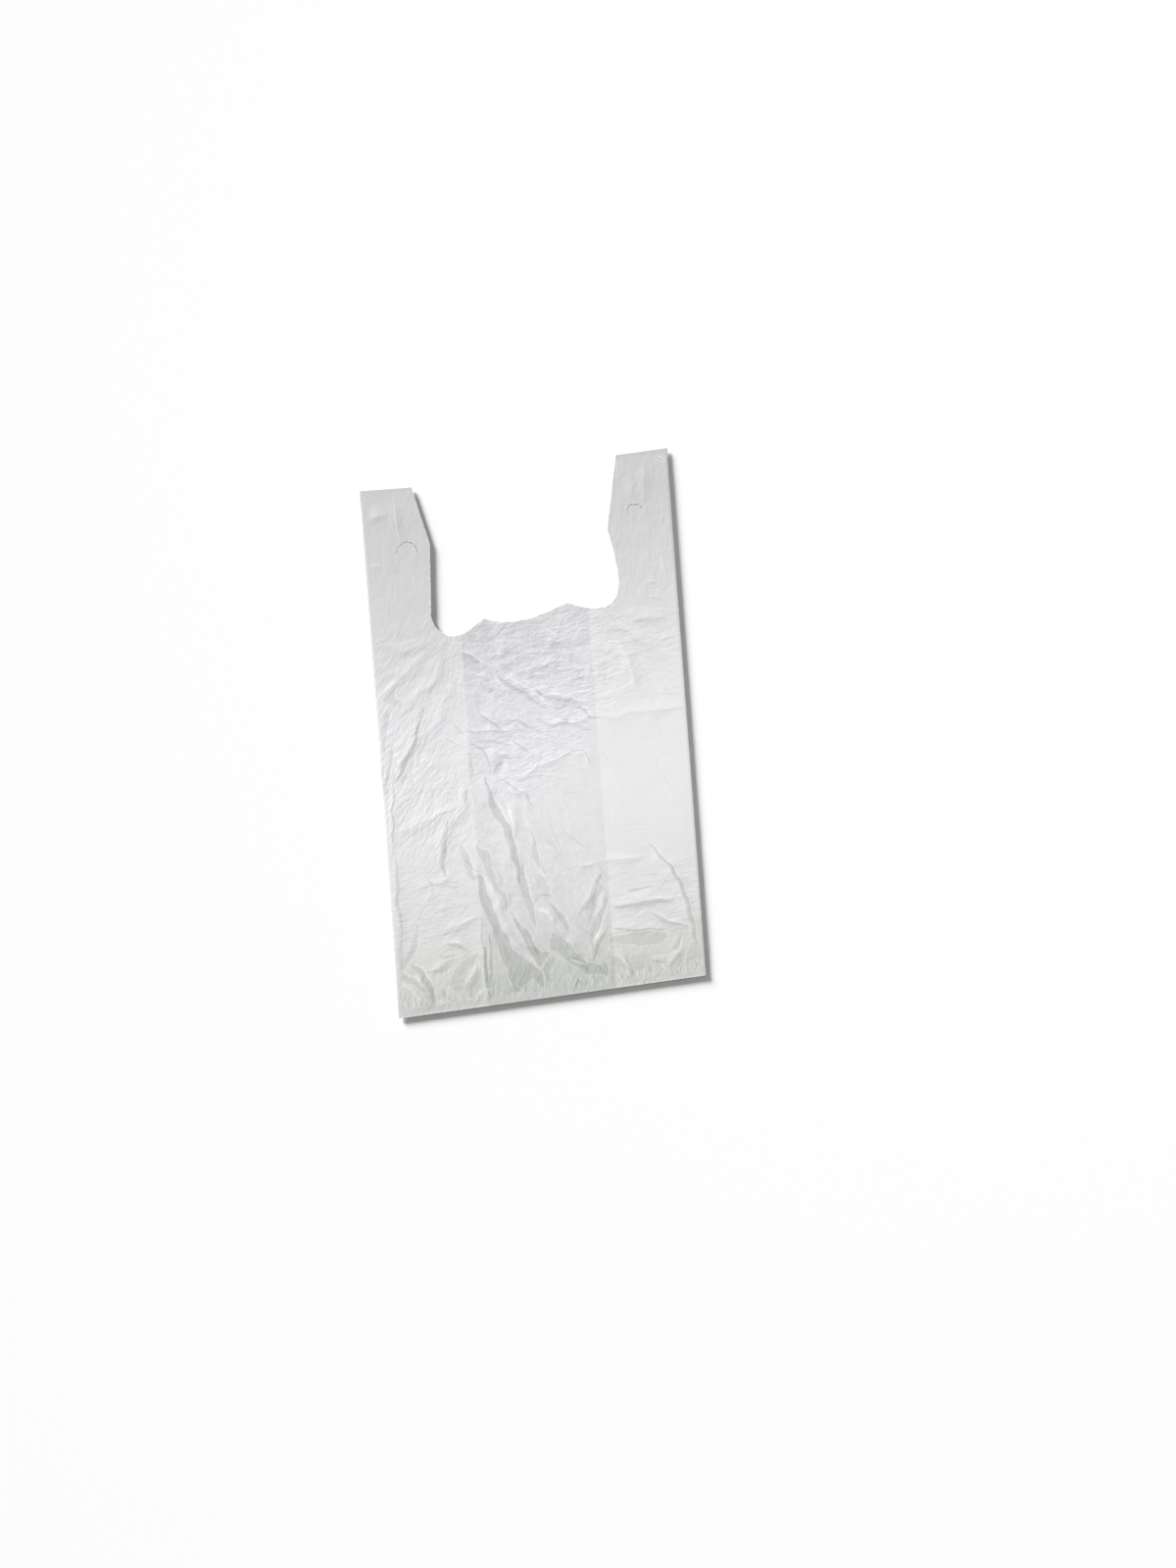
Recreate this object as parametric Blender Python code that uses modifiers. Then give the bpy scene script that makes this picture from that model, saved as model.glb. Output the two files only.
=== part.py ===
"""Plastic carrier bag, empty and lying flat.

A tube of thin film is folded flat with a gusset down each side, welded across the bottom and across
the two handle tops, and then die-cut through every layer for the mouth and the hanging slits.

Metres, +Z up. The bag lies on its back panel at z = 0, with its handles towards +Y. The origin is
under the middle of the bag's box.
"""

import math

import bmesh
import bpy
import numpy as np

# The film tube
FILM_WIDTH = 0.305
BAG_LENGTH = 0.520
GUSSET_DEPTH = 0.089
END_RISE = 0.020  # how much further +Y the right side lies, because the tube was cut askew

# The film is thicker here than the real 0.015 mm, so that each layer is a solid wall
FILM_THICKNESS = 0.0002
LAYER_GAP = 0.0008  # springy film keeps its layers a little apart

# Left handle, measured inwards from the bag's left side and down from the handle's top
LEFT_TOP_WIDTH = 0.0515
LEFT_TOP_RISE = 0.0
LEFT_FLARE_WIDTH = 0.0655
LEFT_FLARE_DROP = 0.057
LEFT_WAIST_WIDTH = 0.0615
LEFT_WAIST_DROP = 0.129
LEFT_SHOULDER_WIDTH = 0.0700
LEFT_SHOULDER_DROP = 0.1445
LEFT_NOTCH_WIDTH = 0.084
LEFT_NOTCH_DROP = 0.149
LEFT_CUSP_WIDTH = 0.113
LEFT_CUSP_DROP = 0.1343

# Right handle, the same from the bag's right side
RIGHT_TOP_WIDTH = 0.050
RIGHT_TOP_RISE = 0.0033
RIGHT_FLARE_WIDTH = 0.0645
RIGHT_FLARE_DROP = 0.075
RIGHT_WAIST_WIDTH = 0.058
RIGHT_WAIST_DROP = 0.131
RIGHT_SHOULDER_WIDTH = 0.0645
RIGHT_SHOULDER_DROP = 0.1465
RIGHT_NOTCH_WIDTH = 0.080
RIGHT_NOTCH_DROP = 0.152
RIGHT_CUSP_WIDTH = 0.1097
RIGHT_CUSP_DROP = 0.1448

# How far the mouth's edge sags below the line between the two cusps
MOUTH_SAG = 0.008

# Hanging slits: half ovals, measured like the handles
LEFT_SLIT_INSET = 0.0425
LEFT_SLIT_DROP = 0.0535
LEFT_SLIT_HALF_WIDTH = 0.010
LEFT_SLIT_DEPTH = 0.011
RIGHT_SLIT_INSET = 0.0365
RIGHT_SLIT_DROP = 0.0528
RIGHT_SLIT_HALF_WIDTH = 0.0075
RIGHT_SLIT_DEPTH = 0.0055
SLIT_WIDTH = 0.0005

# Welds: each is a narrow bar with a short skirt of loose film beyond it
WELD_WIDTH = 0.003
WELD_SKIRT = 0.001
WELD_GAP = 0.00015  # between the layers beside a weld, where they come together
WELD_MARGIN = 0.0008  # the layers stay together this far past a weld

# The mesh of the front panel
GRID_SPACING = 0.0094
FOLD_SEGMENTS = 3
SLIT_SEGMENTS = 12

# The front panel's relief
RIDGE_HALF_WIDTH = 0.011
RIDGE_SHARPNESS = 1.3  # 1 gives straight flanks, and more gives hollow ones
PUFF_HEIGHT = 0.0011
PUFF_ACROSS = 0.132  # the length of the soft waves between the folds, across and along the bag
PUFF_ALONG = 0.170
PUFF_SLANT_ACROSS = 0.214  # and of the ones that run slantwise
PUFF_SLANT_ALONG = 0.258
GATHER_HEIGHT = 0.0016
GATHER_LENGTH = 0.022
GATHER_SPACING = 0.027
CALM_MARGIN = 0.014  # the relief fades out over this distance from the side folds and the welds
STEP_HEIGHT = 0.0014  # how far the front panel sinks between the gussets' inner folds
STEP_WIDTH = 0.011

# Main folds of the front panel: height, then (across, along) as shares of the film's width from its
# middle and of the bag's length from its bottom
MAIN_FOLDS = (
    (0.0036, ((-0.214, 0.516), (-0.039, 0.511), (0.200, 0.510), (0.403, 0.508), (0.470, 0.510))),
    (0.0040, ((-0.300, 0.715), (-0.212, 0.676), (-0.068, 0.610), (0.064, 0.544), (0.117, 0.511))),
    (0.0028, ((-0.065, 0.610), (0.010, 0.623), (0.142, 0.632))),
    (0.0034, ((-0.083, 0.415), (0.015, 0.438), (0.139, 0.456), (0.182, 0.422))),
    (0.0038, ((-0.164, 0.434), (-0.133, 0.372), (-0.098, 0.297), (-0.076, 0.226))),
    (0.0030, ((-0.114, 0.424), (-0.036, 0.383), (-0.017, 0.357))),
    (0.0032, ((-0.214, 0.412), (-0.237, 0.386), (-0.322, 0.315), (-0.335, 0.268))),
    (0.0026, ((-0.220, 0.390), (-0.371, 0.360), (-0.461, 0.328))),
    (0.0024, ((-0.350, 0.560), (-0.407, 0.499), (-0.450, 0.444))),
    (0.0034, ((-0.221, 0.311), (-0.165, 0.252), (-0.118, 0.170))),
    (0.0040, ((-0.213, 0.250), (-0.166, 0.165), (-0.131, 0.119), (-0.033, 0.057))),
    (0.0032, ((-0.113, 0.157), (-0.045, 0.088), (-0.027, 0.057))),
    (0.0030, ((-0.043, 0.182), (0.033, 0.128), (0.062, 0.107))),
    (0.0034, ((0.008, 0.156), (0.094, 0.080), (0.135, 0.054))),
    (0.0024, ((-0.341, 0.142), (-0.219, 0.173))),
    (0.0022, ((-0.397, 0.081), (-0.311, 0.100))),
    (0.0028, ((0.194, 0.219), (0.115, 0.147))),
    (0.0034, ((0.344, 0.264), (0.416, 0.210), (0.456, 0.143), (0.470, 0.080))),
    (0.0026, ((0.111, 0.240), (0.251, 0.240), (0.330, 0.235))),
    (0.0030, ((0.202, 0.157), (0.336, 0.157), (0.421, 0.150))),
    (0.0030, ((0.200, 0.110), (0.267, 0.112), (0.380, 0.103))),
    (0.0022, ((-0.470, 0.948), (-0.409, 0.955))),
    (0.0022, ((-0.389, 0.960), (-0.385, 0.919), (-0.373, 0.888))),
    (0.0022, ((0.427, 0.960), (0.420, 0.912))),
)

# Worked out from the dimensions above
LAYER_PITCH = FILM_THICKNESS + LAYER_GAP
FOLD_RADIUS = LAYER_PITCH / 2
WELD_SQUEEZE = (FILM_THICKNESS + WELD_GAP) / LAYER_PITCH
WELD_END = WELD_SKIRT + WELD_WIDTH + WELD_MARGIN
BACK, LOWER_LEAF, UPPER_LEAF, FRONT = (FILM_THICKNESS / 2 + LAYER_PITCH * layer for layer in range(4))
SIDE = FILM_WIDTH / 2
INNER_FOLD = SIDE - GUSSET_DEPTH
BOX_LENGTH = BAG_LENGTH + END_RISE
ABOVE_ALL = 0.030  # cutters reach this far above and below the film

FILM_COLOUR = (0.74, 0.74, 0.76, 1.0)
FILM_ROUGHNESS = 0.35


def clear_scene():
    for obj in list(bpy.data.objects):
        bpy.data.objects.remove(obj, do_unlink=True)


def new_collection(name):
    collection = bpy.data.collections.new(name)
    bpy.context.scene.collection.children.link(collection)
    return collection


def film_material():
    """Translucent white film, as opaque as its stacked layers look."""
    material = bpy.data.materials.new("white_hdpe_film")
    material.use_nodes = True
    shader = material.node_tree.nodes["Principled BSDF"]
    shader.inputs["Base Color"].default_value = FILM_COLOUR
    shader.inputs["Roughness"].default_value = FILM_ROUGHNESS
    shader.inputs["Metallic"].default_value = 0.0
    return material


def bottom_edge(x):
    return END_RISE * (x / FILM_WIDTH + 0.5) - BOX_LENGTH / 2


def top_edge(x):
    """The tube's top end. Only the stretches over the two handles are left after the die cut."""
    left_top = BAG_LENGTH - BOX_LENGTH / 2
    right_top = BOX_LENGTH / 2
    places = (-SIDE, LEFT_TOP_WIDTH - SIDE, SIDE - RIGHT_TOP_WIDTH, SIDE)
    heights = (left_top, left_top + LEFT_TOP_RISE, right_top - RIGHT_TOP_RISE, right_top)
    return float(np.interp(x, places, heights))


def on_bag(across, along):
    """The (x, y) of a place given as shares of the film's width and the bag's length."""
    x = across * FILM_WIDTH
    return x, bottom_edge(x) + along * BAG_LENGTH


def from_left_top(inwards, down):
    return inwards - SIDE, BAG_LENGTH - BOX_LENGTH / 2 - down


def from_right_top(inwards, down):
    return SIDE - inwards, BOX_LENGTH / 2 - down


def half_circle(x, low, high, towards):
    """Points of a film fold between two layers, bulging towards +X (1) or -X (-1), from the top down."""
    middle = (low + high) / 2
    turns = [math.pi / 2 - math.pi * step / FOLD_SEGMENTS for step in range(1, FOLD_SEGMENTS)]
    return [(x + towards * FOLD_RADIUS * math.cos(a), middle + FOLD_RADIUS * math.sin(a)) for a in turns]


def evenly(start, end):
    """Places from start to end, both included, at about the grid's spacing."""
    return list(np.linspace(start, end, max(2, round(abs(end - start) / GRID_SPACING) + 1)))


def tube_section():
    """The flattened tube's closed section as (x, z) points."""
    outer = SIDE - FILM_THICKNESS / 2 - FOLD_RADIUS
    foot = INNER_FOLD - STEP_WIDTH
    middle = [x for x in evenly(-foot, foot) if x > -GRID_SPACING / 4]
    gusset = evenly(INNER_FOLD, outer)
    leaf = [INNER_FOLD + FILM_THICKNESS / 2 + FOLD_RADIUS] + gusset[1:]
    half = [(x, FRONT) for x in middle + gusset]
    half += half_circle(outer, UPPER_LEAF, FRONT, 1)
    half += [(x, UPPER_LEAF) for x in reversed(leaf)]
    half += half_circle(leaf[0], LOWER_LEAF, UPPER_LEAF, -1)
    half += [(x, LOWER_LEAF) for x in leaf]
    half += half_circle(outer, BACK, LOWER_LEAF, 1)
    half += [(x, BACK) for x in reversed(middle + gusset)]
    mirrored = [(-x, z) for x, z in reversed(half) if x > GRID_SPACING / 4]
    return half + mirrored


def tube_rows():
    """Places along the tube, as shares of its length, closer together at the welds."""
    return [0.0] + [y / BAG_LENGTH for y in evenly(WELD_END, BAG_LENGTH - WELD_END)] + [1.0]


def distance_to(line, x, y):
    """The distance from (x, y) to a fold's line of straight stretches."""
    nearest = math.inf
    for (x1, y1), (x2, y2) in zip(line, line[1:]):
        dx, dy = x2 - x1, y2 - y1
        share = ((x - x1) * dx + (y - y1) * dy) / (dx * dx + dy * dy)
        share = min(1.0, max(0.0, share))
        nearest = min(nearest, math.hypot(x - x1 - share * dx, y - y1 - share * dy))
    return nearest


def fade(distance, width):
    """0 at the edge and below, 1 from the given width on, with a smooth start and end."""
    share = min(1.0, max(0.0, distance / width))
    return share * share * (3 - 2 * share)


def relief(x, y, from_bottom, from_top):
    """How far the front panel stands above its flat place."""
    height = 0.0
    for fold_height, places in MAIN_FOLDS:
        away = distance_to([on_bag(*place) for place in places], x, y) / RIDGE_HALF_WIDTH
        height = max(height, fold_height * max(0.0, 1 - away) ** RIDGE_SHARPNESS)
    puff = math.sin(math.tau * x / PUFF_ACROSS) * math.cos(math.tau * y / PUFF_ALONG)
    puff += math.sin(math.tau * (x / PUFF_SLANT_ACROSS - y / PUFF_SLANT_ALONG))
    height += PUFF_HEIGHT * max(0.0, 0.5 + 0.5 * puff)
    wave = 0.5 + 0.5 * math.cos(math.tau * x / GATHER_SPACING)
    height += GATHER_HEIGHT * wave * (1 - fade(from_bottom, GATHER_LENGTH))
    return (
        height
        * fade(SIDE - abs(x), CALM_MARGIN)
        * fade(from_bottom - WELD_END, CALM_MARGIN)
        * fade(from_top - WELD_END, CALM_MARGIN)
    )


def placed(x, along, z):
    """Where a point of the straight tube lies in the finished bag. along is its share of the length."""
    low, high = bottom_edge(x), top_edge(x)
    y = low + along * (high - low)
    from_end = min(along, 1 - along) * (high - low)
    open_share = fade(from_end - WELD_END, CALM_MARGIN)
    squeeze = WELD_SQUEEZE + (1 - WELD_SQUEEZE) * open_share
    if z > FRONT - FOLD_RADIUS / 4:
        over_middle = 1 - fade(abs(x) - (INNER_FOLD - STEP_WIDTH), STEP_WIDTH)
        z -= STEP_HEIGHT * over_middle * open_share
        z += relief(x, y, along * (high - low), (1 - along) * (high - low))
    return x, y, BACK + (z - BACK) * squeeze


def make_film(collection):
    """The gusseted tube as an open surface, given its wall by Solidify."""
    bm = bmesh.new()
    section = tube_section()
    ring = [bm.verts.new((x, 0, z)) for x, z in section]
    edges = [bm.edges.new(pair) for pair in zip(ring, ring[1:] + ring[:1])]
    rows = tube_rows()
    for start, end in zip(rows, rows[1:]):
        grown = bmesh.ops.extrude_edge_only(bm, edges=edges)["geom"]
        moved = [g for g in grown if isinstance(g, bmesh.types.BMVert)]
        bmesh.ops.translate(bm, verts=moved, vec=(0, end - start, 0))
        edges = [g for g in grown if isinstance(g, bmesh.types.BMEdge)]
    under = [face for face in bm.faces if max(v.co.z for v in face.verts) < UPPER_LEAF + FOLD_RADIUS / 4]
    for vert in bm.verts:
        vert.co = placed(*vert.co)
    bmesh.ops.recalc_face_normals(bm, faces=bm.faces)
    bmesh.ops.dissolve_limit(
        bm,
        angle_limit=math.radians(0.2),
        verts=list({v for face in under for v in face.verts}),
        edges=list({e for face in under for e in face.edges}),
    )
    mesh = bpy.data.meshes.new("carrier_bag")
    bm.to_mesh(mesh)
    bm.free()
    mesh.shade_smooth()
    film = bpy.data.objects.new("carrier_bag", mesh)
    collection.objects.link(film)
    wall = film.modifiers.new("film_wall", "SOLIDIFY")
    wall.thickness = FILM_THICKNESS
    wall.offset = 0.0
    wall.use_even_offset = True
    return film


def add_helper(obj, collection):
    collection.objects.link(obj)
    obj.hide_render = True
    obj.display_type = "WIRE"


def weld_bar(name, x_start, x_end, edge, inwards, collection):
    """A bar that fuses the layers, WELD_SKIRT in from a tube end, between two places across the bag."""
    bm = bmesh.new()
    bmesh.ops.create_cube(bm, size=1.0)
    low = FILM_THICKNESS / 4
    high = BACK + (FRONT - BACK) * WELD_SQUEEZE + FILM_THICKNESS / 4
    for vert in bm.verts:
        x = x_start if vert.co.x < 0 else x_end
        y = edge(x) + inwards * (WELD_SKIRT + (0.0 if vert.co.y < 0 else WELD_WIDTH))
        vert.co = (x, y, low if vert.co.z < 0 else high)
    bmesh.ops.recalc_face_normals(bm, faces=bm.faces)
    mesh = bpy.data.meshes.new(name)
    bm.to_mesh(mesh)
    bm.free()
    bar = bpy.data.objects.new(name, mesh)
    add_helper(bar, collection)
    return bar


def die_outline():
    """The die's edge as ((x, y), corner) points, from the left handle's top across to the right's."""
    left_cusp = from_left_top(LEFT_CUSP_WIDTH, LEFT_CUSP_DROP)
    right_cusp = from_right_top(RIGHT_CUSP_WIDTH, RIGHT_CUSP_DROP)
    sag = ((left_cusp[0] + right_cusp[0]) / 2, (left_cusp[1] + right_cusp[1]) / 2 - MOUTH_SAG)
    left_lean = (LEFT_FLARE_WIDTH - LEFT_TOP_WIDTH) / LEFT_FLARE_DROP
    right_lean = (RIGHT_FLARE_WIDTH - RIGHT_TOP_WIDTH) / RIGHT_FLARE_DROP
    return (
        (from_left_top(LEFT_TOP_WIDTH - left_lean * ABOVE_ALL, -ABOVE_ALL), True),
        (from_left_top(LEFT_FLARE_WIDTH, LEFT_FLARE_DROP), True),
        (from_left_top(LEFT_WAIST_WIDTH, LEFT_WAIST_DROP), False),
        (from_left_top(LEFT_SHOULDER_WIDTH, LEFT_SHOULDER_DROP), False),
        (from_left_top(LEFT_NOTCH_WIDTH, LEFT_NOTCH_DROP), False),
        (left_cusp, True),
        (sag, False),
        (right_cusp, True),
        (from_right_top(RIGHT_NOTCH_WIDTH, RIGHT_NOTCH_DROP), False),
        (from_right_top(RIGHT_SHOULDER_WIDTH, RIGHT_SHOULDER_DROP), False),
        (from_right_top(RIGHT_WAIST_WIDTH, RIGHT_WAIST_DROP), False),
        (from_right_top(RIGHT_FLARE_WIDTH, RIGHT_FLARE_DROP), True),
        (from_right_top(RIGHT_TOP_WIDTH - right_lean * ABOVE_ALL, -ABOVE_ALL), True),
    )


def make_die(collection):
    """The blade that cuts the mouth and the handles' inner edges through every layer."""
    curve = bpy.data.curves.new("mouth_die", "CURVE")
    curve.dimensions = "2D"
    curve.fill_mode = "BOTH"
    curve.extrude = ABOVE_ALL
    curve.resolution_u = 7
    outline = die_outline()
    spline = curve.splines.new("BEZIER")
    spline.bezier_points.add(len(outline) - 1)
    spline.use_cyclic_u = True
    for point, ((x, y), corner) in zip(spline.bezier_points, outline):
        point.co = (x, y, 0)
        kind = "VECTOR" if corner else "AUTO"
        point.handle_left_type = kind
        point.handle_right_type = kind
    shape = bpy.data.objects.new("mouth_die_curve", curve)
    collection.objects.link(shape)
    bpy.context.view_layer.update()
    evaluated = shape.evaluated_get(bpy.context.evaluated_depsgraph_get())
    mesh = bpy.data.meshes.new_from_object(evaluated)
    bm = bmesh.new()
    bm.from_mesh(mesh)
    bmesh.ops.remove_doubles(bm, verts=bm.verts, dist=1e-6)
    bmesh.ops.recalc_face_normals(bm, faces=bm.faces)
    bm.to_mesh(mesh)
    bm.free()
    bpy.data.objects.remove(shape, do_unlink=True)
    die = bpy.data.objects.new("mouth_die", mesh)
    add_helper(die, collection)
    return die


def make_slit(name, centre_top, half_width, depth, collection):
    """The blade of a hanging slit: the upper half of an oval, a thin wall through every layer."""
    bm = bmesh.new()
    arc = []
    for step in range(SLIT_SEGMENTS + 1):
        turn = math.pi * step / SLIT_SEGMENTS
        x = centre_top[0] - half_width * math.cos(turn)
        y = centre_top[1] - depth * (1 - math.sin(turn))
        arc.append(bm.verts.new((x, y, -ABOVE_ALL)))
    edges = [bm.edges.new(pair) for pair in zip(arc, arc[1:])]
    grown = bmesh.ops.extrude_edge_only(bm, edges=edges)["geom"]
    risen = [g for g in grown if isinstance(g, bmesh.types.BMVert)]
    bmesh.ops.translate(bm, verts=risen, vec=(0, 0, 2 * ABOVE_ALL))
    bmesh.ops.recalc_face_normals(bm, faces=bm.faces)
    mesh = bpy.data.meshes.new(name)
    bm.to_mesh(mesh)
    bm.free()
    blade = bpy.data.objects.new(name, mesh)
    add_helper(blade, collection)
    wall = blade.modifiers.new("blade_wall", "SOLIDIFY")
    wall.thickness = SLIT_WIDTH
    wall.offset = 0.0
    return blade


def add_boolean(film, helper, operation):
    cut = film.modifiers.new(helper.name, "BOOLEAN")
    cut.operation = operation
    cut.solver = "EXACT"
    cut.object = helper


def build():
    clear_scene()
    parts = new_collection("plastic_carrier_bag")
    cutters = new_collection("cutters")
    film = make_film(parts)
    film.data.materials.append(film_material())

    reach = SIDE - FILM_THICKNESS - FOLD_RADIUS / 2
    left_handle = LEFT_TOP_WIDTH - SIDE
    right_handle = SIDE - RIGHT_TOP_WIDTH
    add_boolean(film, weld_bar("bottom_weld", -reach, reach, bottom_edge, 1, cutters), "UNION")
    add_boolean(film, weld_bar("left_handle_weld", -reach, left_handle, top_edge, -1, cutters), "UNION")
    add_boolean(film, weld_bar("right_handle_weld", right_handle, reach, top_edge, -1, cutters), "UNION")

    add_boolean(film, make_die(cutters), "DIFFERENCE")
    left_slit = from_left_top(LEFT_SLIT_INSET, LEFT_SLIT_DROP)
    right_slit = from_right_top(RIGHT_SLIT_INSET, RIGHT_SLIT_DROP)
    slits = (
        make_slit("left_slit", left_slit, LEFT_SLIT_HALF_WIDTH, LEFT_SLIT_DEPTH, cutters),
        make_slit("right_slit", right_slit, RIGHT_SLIT_HALF_WIDTH, RIGHT_SLIT_DEPTH, cutters),
    )
    for slit in slits:
        add_boolean(film, slit, "DIFFERENCE")


build()
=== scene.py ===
import math

import bmesh
import bpy
import numpy as np
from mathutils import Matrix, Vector
from mathutils.bvhtree import BVHTree
from mathutils.geometry import delaunay_2d_cdt


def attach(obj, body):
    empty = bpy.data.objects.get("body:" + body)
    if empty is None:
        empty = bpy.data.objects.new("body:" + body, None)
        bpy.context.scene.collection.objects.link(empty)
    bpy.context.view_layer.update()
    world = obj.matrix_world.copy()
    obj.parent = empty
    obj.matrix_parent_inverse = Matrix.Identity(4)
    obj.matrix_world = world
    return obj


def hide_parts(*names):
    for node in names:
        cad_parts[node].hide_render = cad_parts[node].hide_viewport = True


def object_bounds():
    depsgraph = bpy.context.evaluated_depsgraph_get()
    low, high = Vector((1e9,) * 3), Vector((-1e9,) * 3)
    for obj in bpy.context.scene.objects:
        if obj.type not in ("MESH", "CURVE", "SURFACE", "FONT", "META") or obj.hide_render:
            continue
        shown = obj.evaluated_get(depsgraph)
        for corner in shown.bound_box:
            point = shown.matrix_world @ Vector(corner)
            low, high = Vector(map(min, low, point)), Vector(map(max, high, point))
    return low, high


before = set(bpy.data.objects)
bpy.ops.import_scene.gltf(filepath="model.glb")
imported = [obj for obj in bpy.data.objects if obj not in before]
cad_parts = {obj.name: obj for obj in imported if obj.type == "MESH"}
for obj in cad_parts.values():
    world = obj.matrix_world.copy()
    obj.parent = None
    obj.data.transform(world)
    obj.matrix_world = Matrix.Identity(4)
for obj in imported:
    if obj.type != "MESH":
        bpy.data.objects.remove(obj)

# The plastic carrier bag as it looks: blown film with creases, gathers, welds and die-cut edges.
# Metres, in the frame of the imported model: +Y runs up the bag towards its handles.
cad_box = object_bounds()

MM = 0.001
RANDOM_SEED = 7
NOISE_WAVES, NOISE_PEAK = 7, 3.2  # the waves that make up a soft random field, and about how high they reach
POINT_CELLS = 96  # the scattered points repeat after this many cells

# The film tube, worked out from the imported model's box
SIDE = cad_box[1].x
END_RISE = 0.020
BOX_HALF_LENGTH = cad_box[1].y
BAG_LENGTH = 2 * BOX_HALF_LENGTH - END_RISE
GUSSET_DEPTH = 0.089
LEFT_TOP_WIDTH = 0.0515
RIGHT_TOP_WIDTH = 0.0500
RIGHT_TOP_RISE = 0.0033
INNER_FOLD = SIDE - GUSSET_DEPTH
FILM_THICKNESS = 0.0002
STACK_HEIGHT = 0.0038  # from the back panel up to the front panel at a side fold
LAYER_PITCH = STACK_HEIGHT / 3
FOLD_RADIUS = LAYER_PITCH / 2
WELD_HEIGHT = 0.0010  # the same stack where it is welded
END_LIFT = 0.0024  # the welded ends curl up a little from the floor
CURL_LENGTH = 0.030
WELD_WIDTH = 0.0035
CALM_MARGIN = 0.012
END_MARGIN = 0.005
CENTRE_SINK = 0.0001
CENTRE_SINK_WIDTH = 0.018
BEND_REACH, BEND_LENGTH = 0.0018, 0.022  # how far the creases' lines wander, and over what length
TONE_BEND = 0.5  # the tone facets' share of that
SLACK_HEIGHT, SLACK_LENGTH = 0.0001, 0.12  # the film's long soft waves
BACK_SHARE = 0.3  # how much of the front's relief the back takes on

# The mesh: spacing of its points on the front, the gusset leaves and the back
ROW_SPACING = 0.0023
FRONT_SPACING = 0.0023
LEAF_SPACING = 0.0150
BACK_SPACING = 0.0060
FOLD_SEGMENTS = 4
SHARP_ANGLE = 40

# The die's edge in millimetres from the middle of the bag's box: (x, y, corner)
DIE_OUTLINE = (
    (-108.4, 280.0, True),
    (-87.0, 193.0, True),
    (-90.6, 128.0, True),
    (-91.0, 121.0, False),
    (-82.3, 105.8, False),
    (-68.5, 101.2, False),
    (-39.5, 116.0, True),
    (-23.0, 111.6, False),
    (1.5, 112.3, False),
    (42.8, 125.2, True),
    (72.5, 118.0, False),
    (88.2, 123.6, False),
    (94.6, 139.0, False),
    (93.1, 169.0, False),
    (88.0, 195.0, True),
    (108.0, 300.0, True),
)
OUTLINE_STEPS = 10
CUTTER_REACH = 0.020
MOUTH_MARGIN = 0.006

# Hanging slits in millimetres: middle of the arc's top, half width, depth
SLITS = (
    (-110.0, 197.0, 10.0, 11.5),
    (116.2, 217.0, 7.5, 5.5),
)
SLIT_WIDTH = 0.0003
SLIT_SEGMENTS = 20

# Long folds of the front panel, in millimetres: height, width to the line's left, width to its
# right, and the line's points. A negative height is a valley.
MIDDLE_FOLDS = (
    (0.32, 12, 6, ((-84, 100), (-65, 87), (-45, 75), (-21, 55), (-4, 44), (18, 26), (36, 8))),
    (0.3, 10, 5, ((-66, 7), (-57, 4), (-40, 5), (-29, 4), (-11, 5))),
    (0.3, 10, 5, ((3, 16), (10, 12), (15, 6), (27, 7), (38, 7), (61, 9))),
    (0.5, 10, 6, ((-20, 58), (3, 64), (28, 69), (43, 72))),
    (0.25, 6, 9, ((-25, -46), (-5, -40), (5, -32), (23, -28), (42, -20))),
    (0.3, 9, 6, ((42, -20), (50, -26), (56, -37))),
    (0.4, 6, 5, ((-42, -16), (-24, -22))),
    (-0.4, 7, 7, ((-31, -22), (-42, -41))),
    (0.45, 9, 14, ((-50, -38), (-48, -55), (-41, -69))),
    (0.45, 10, 14, ((-41, -69), (-33, -85), (-29, -108), (-27, -126), (-23, -144))),
    (0.5, 7, 10, ((-35, -42), (-21, -51), (-11, -62), (-5, -75))),
    (0.4, 9, 7, ((-28, -58), (-25, -81), (-24, -106))),
    (0.4, 9, 12, ((-67, -103), (-56, -113), (-50, -132), (-40, -154), (-36, -174))),
    (-0.4, 11, 12, ((-65, -134), (-59, -157), (-51, -178), (-40, -201), (-17, -223), (-10, -231))),
    (0.45, 9, 12, ((-56, -136), (-47, -163), (-39, -196), (-24, -214))),
    (0.4, 9, 12, ((-34, -181), (-25, -199), (-14, -215), (-8, -231))),
    (0.4, 10, 10, ((-13, -166), (-1, -177), (10, -193), (19, -203))),
    (0.45, 10, 12, ((2, -179), (14, -200), (29, -216), (41, -229))),
    (0.4, 9, 10, ((59, -142), (49, -156), (35, -181))),
    (-0.5, 9, 9, ((55, -159), (49, -178), (41, -209))),
    (0.5, 8, 10, ((56, -196), (46, -212), (42, -228))),
    (0.3, 5, 5, ((34, -133), (54, -130))),
    (0.5, 9, 9, ((-30, 104), (-22, 88), (-4, 80))),
    (0.5, 9, 9, ((20, 102), (28, 88), (44, 84))),
    (0.4, 9, 9, ((-58, 66), (-44, 50), (-30, 42))),
    (0.5, 9, 9, ((11, 37), (21, 34), (32, 30), (48, 28))),
    (0.5, 9, 9, ((-54, 28), (-40, 14), (-29, 5))),
)
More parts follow.
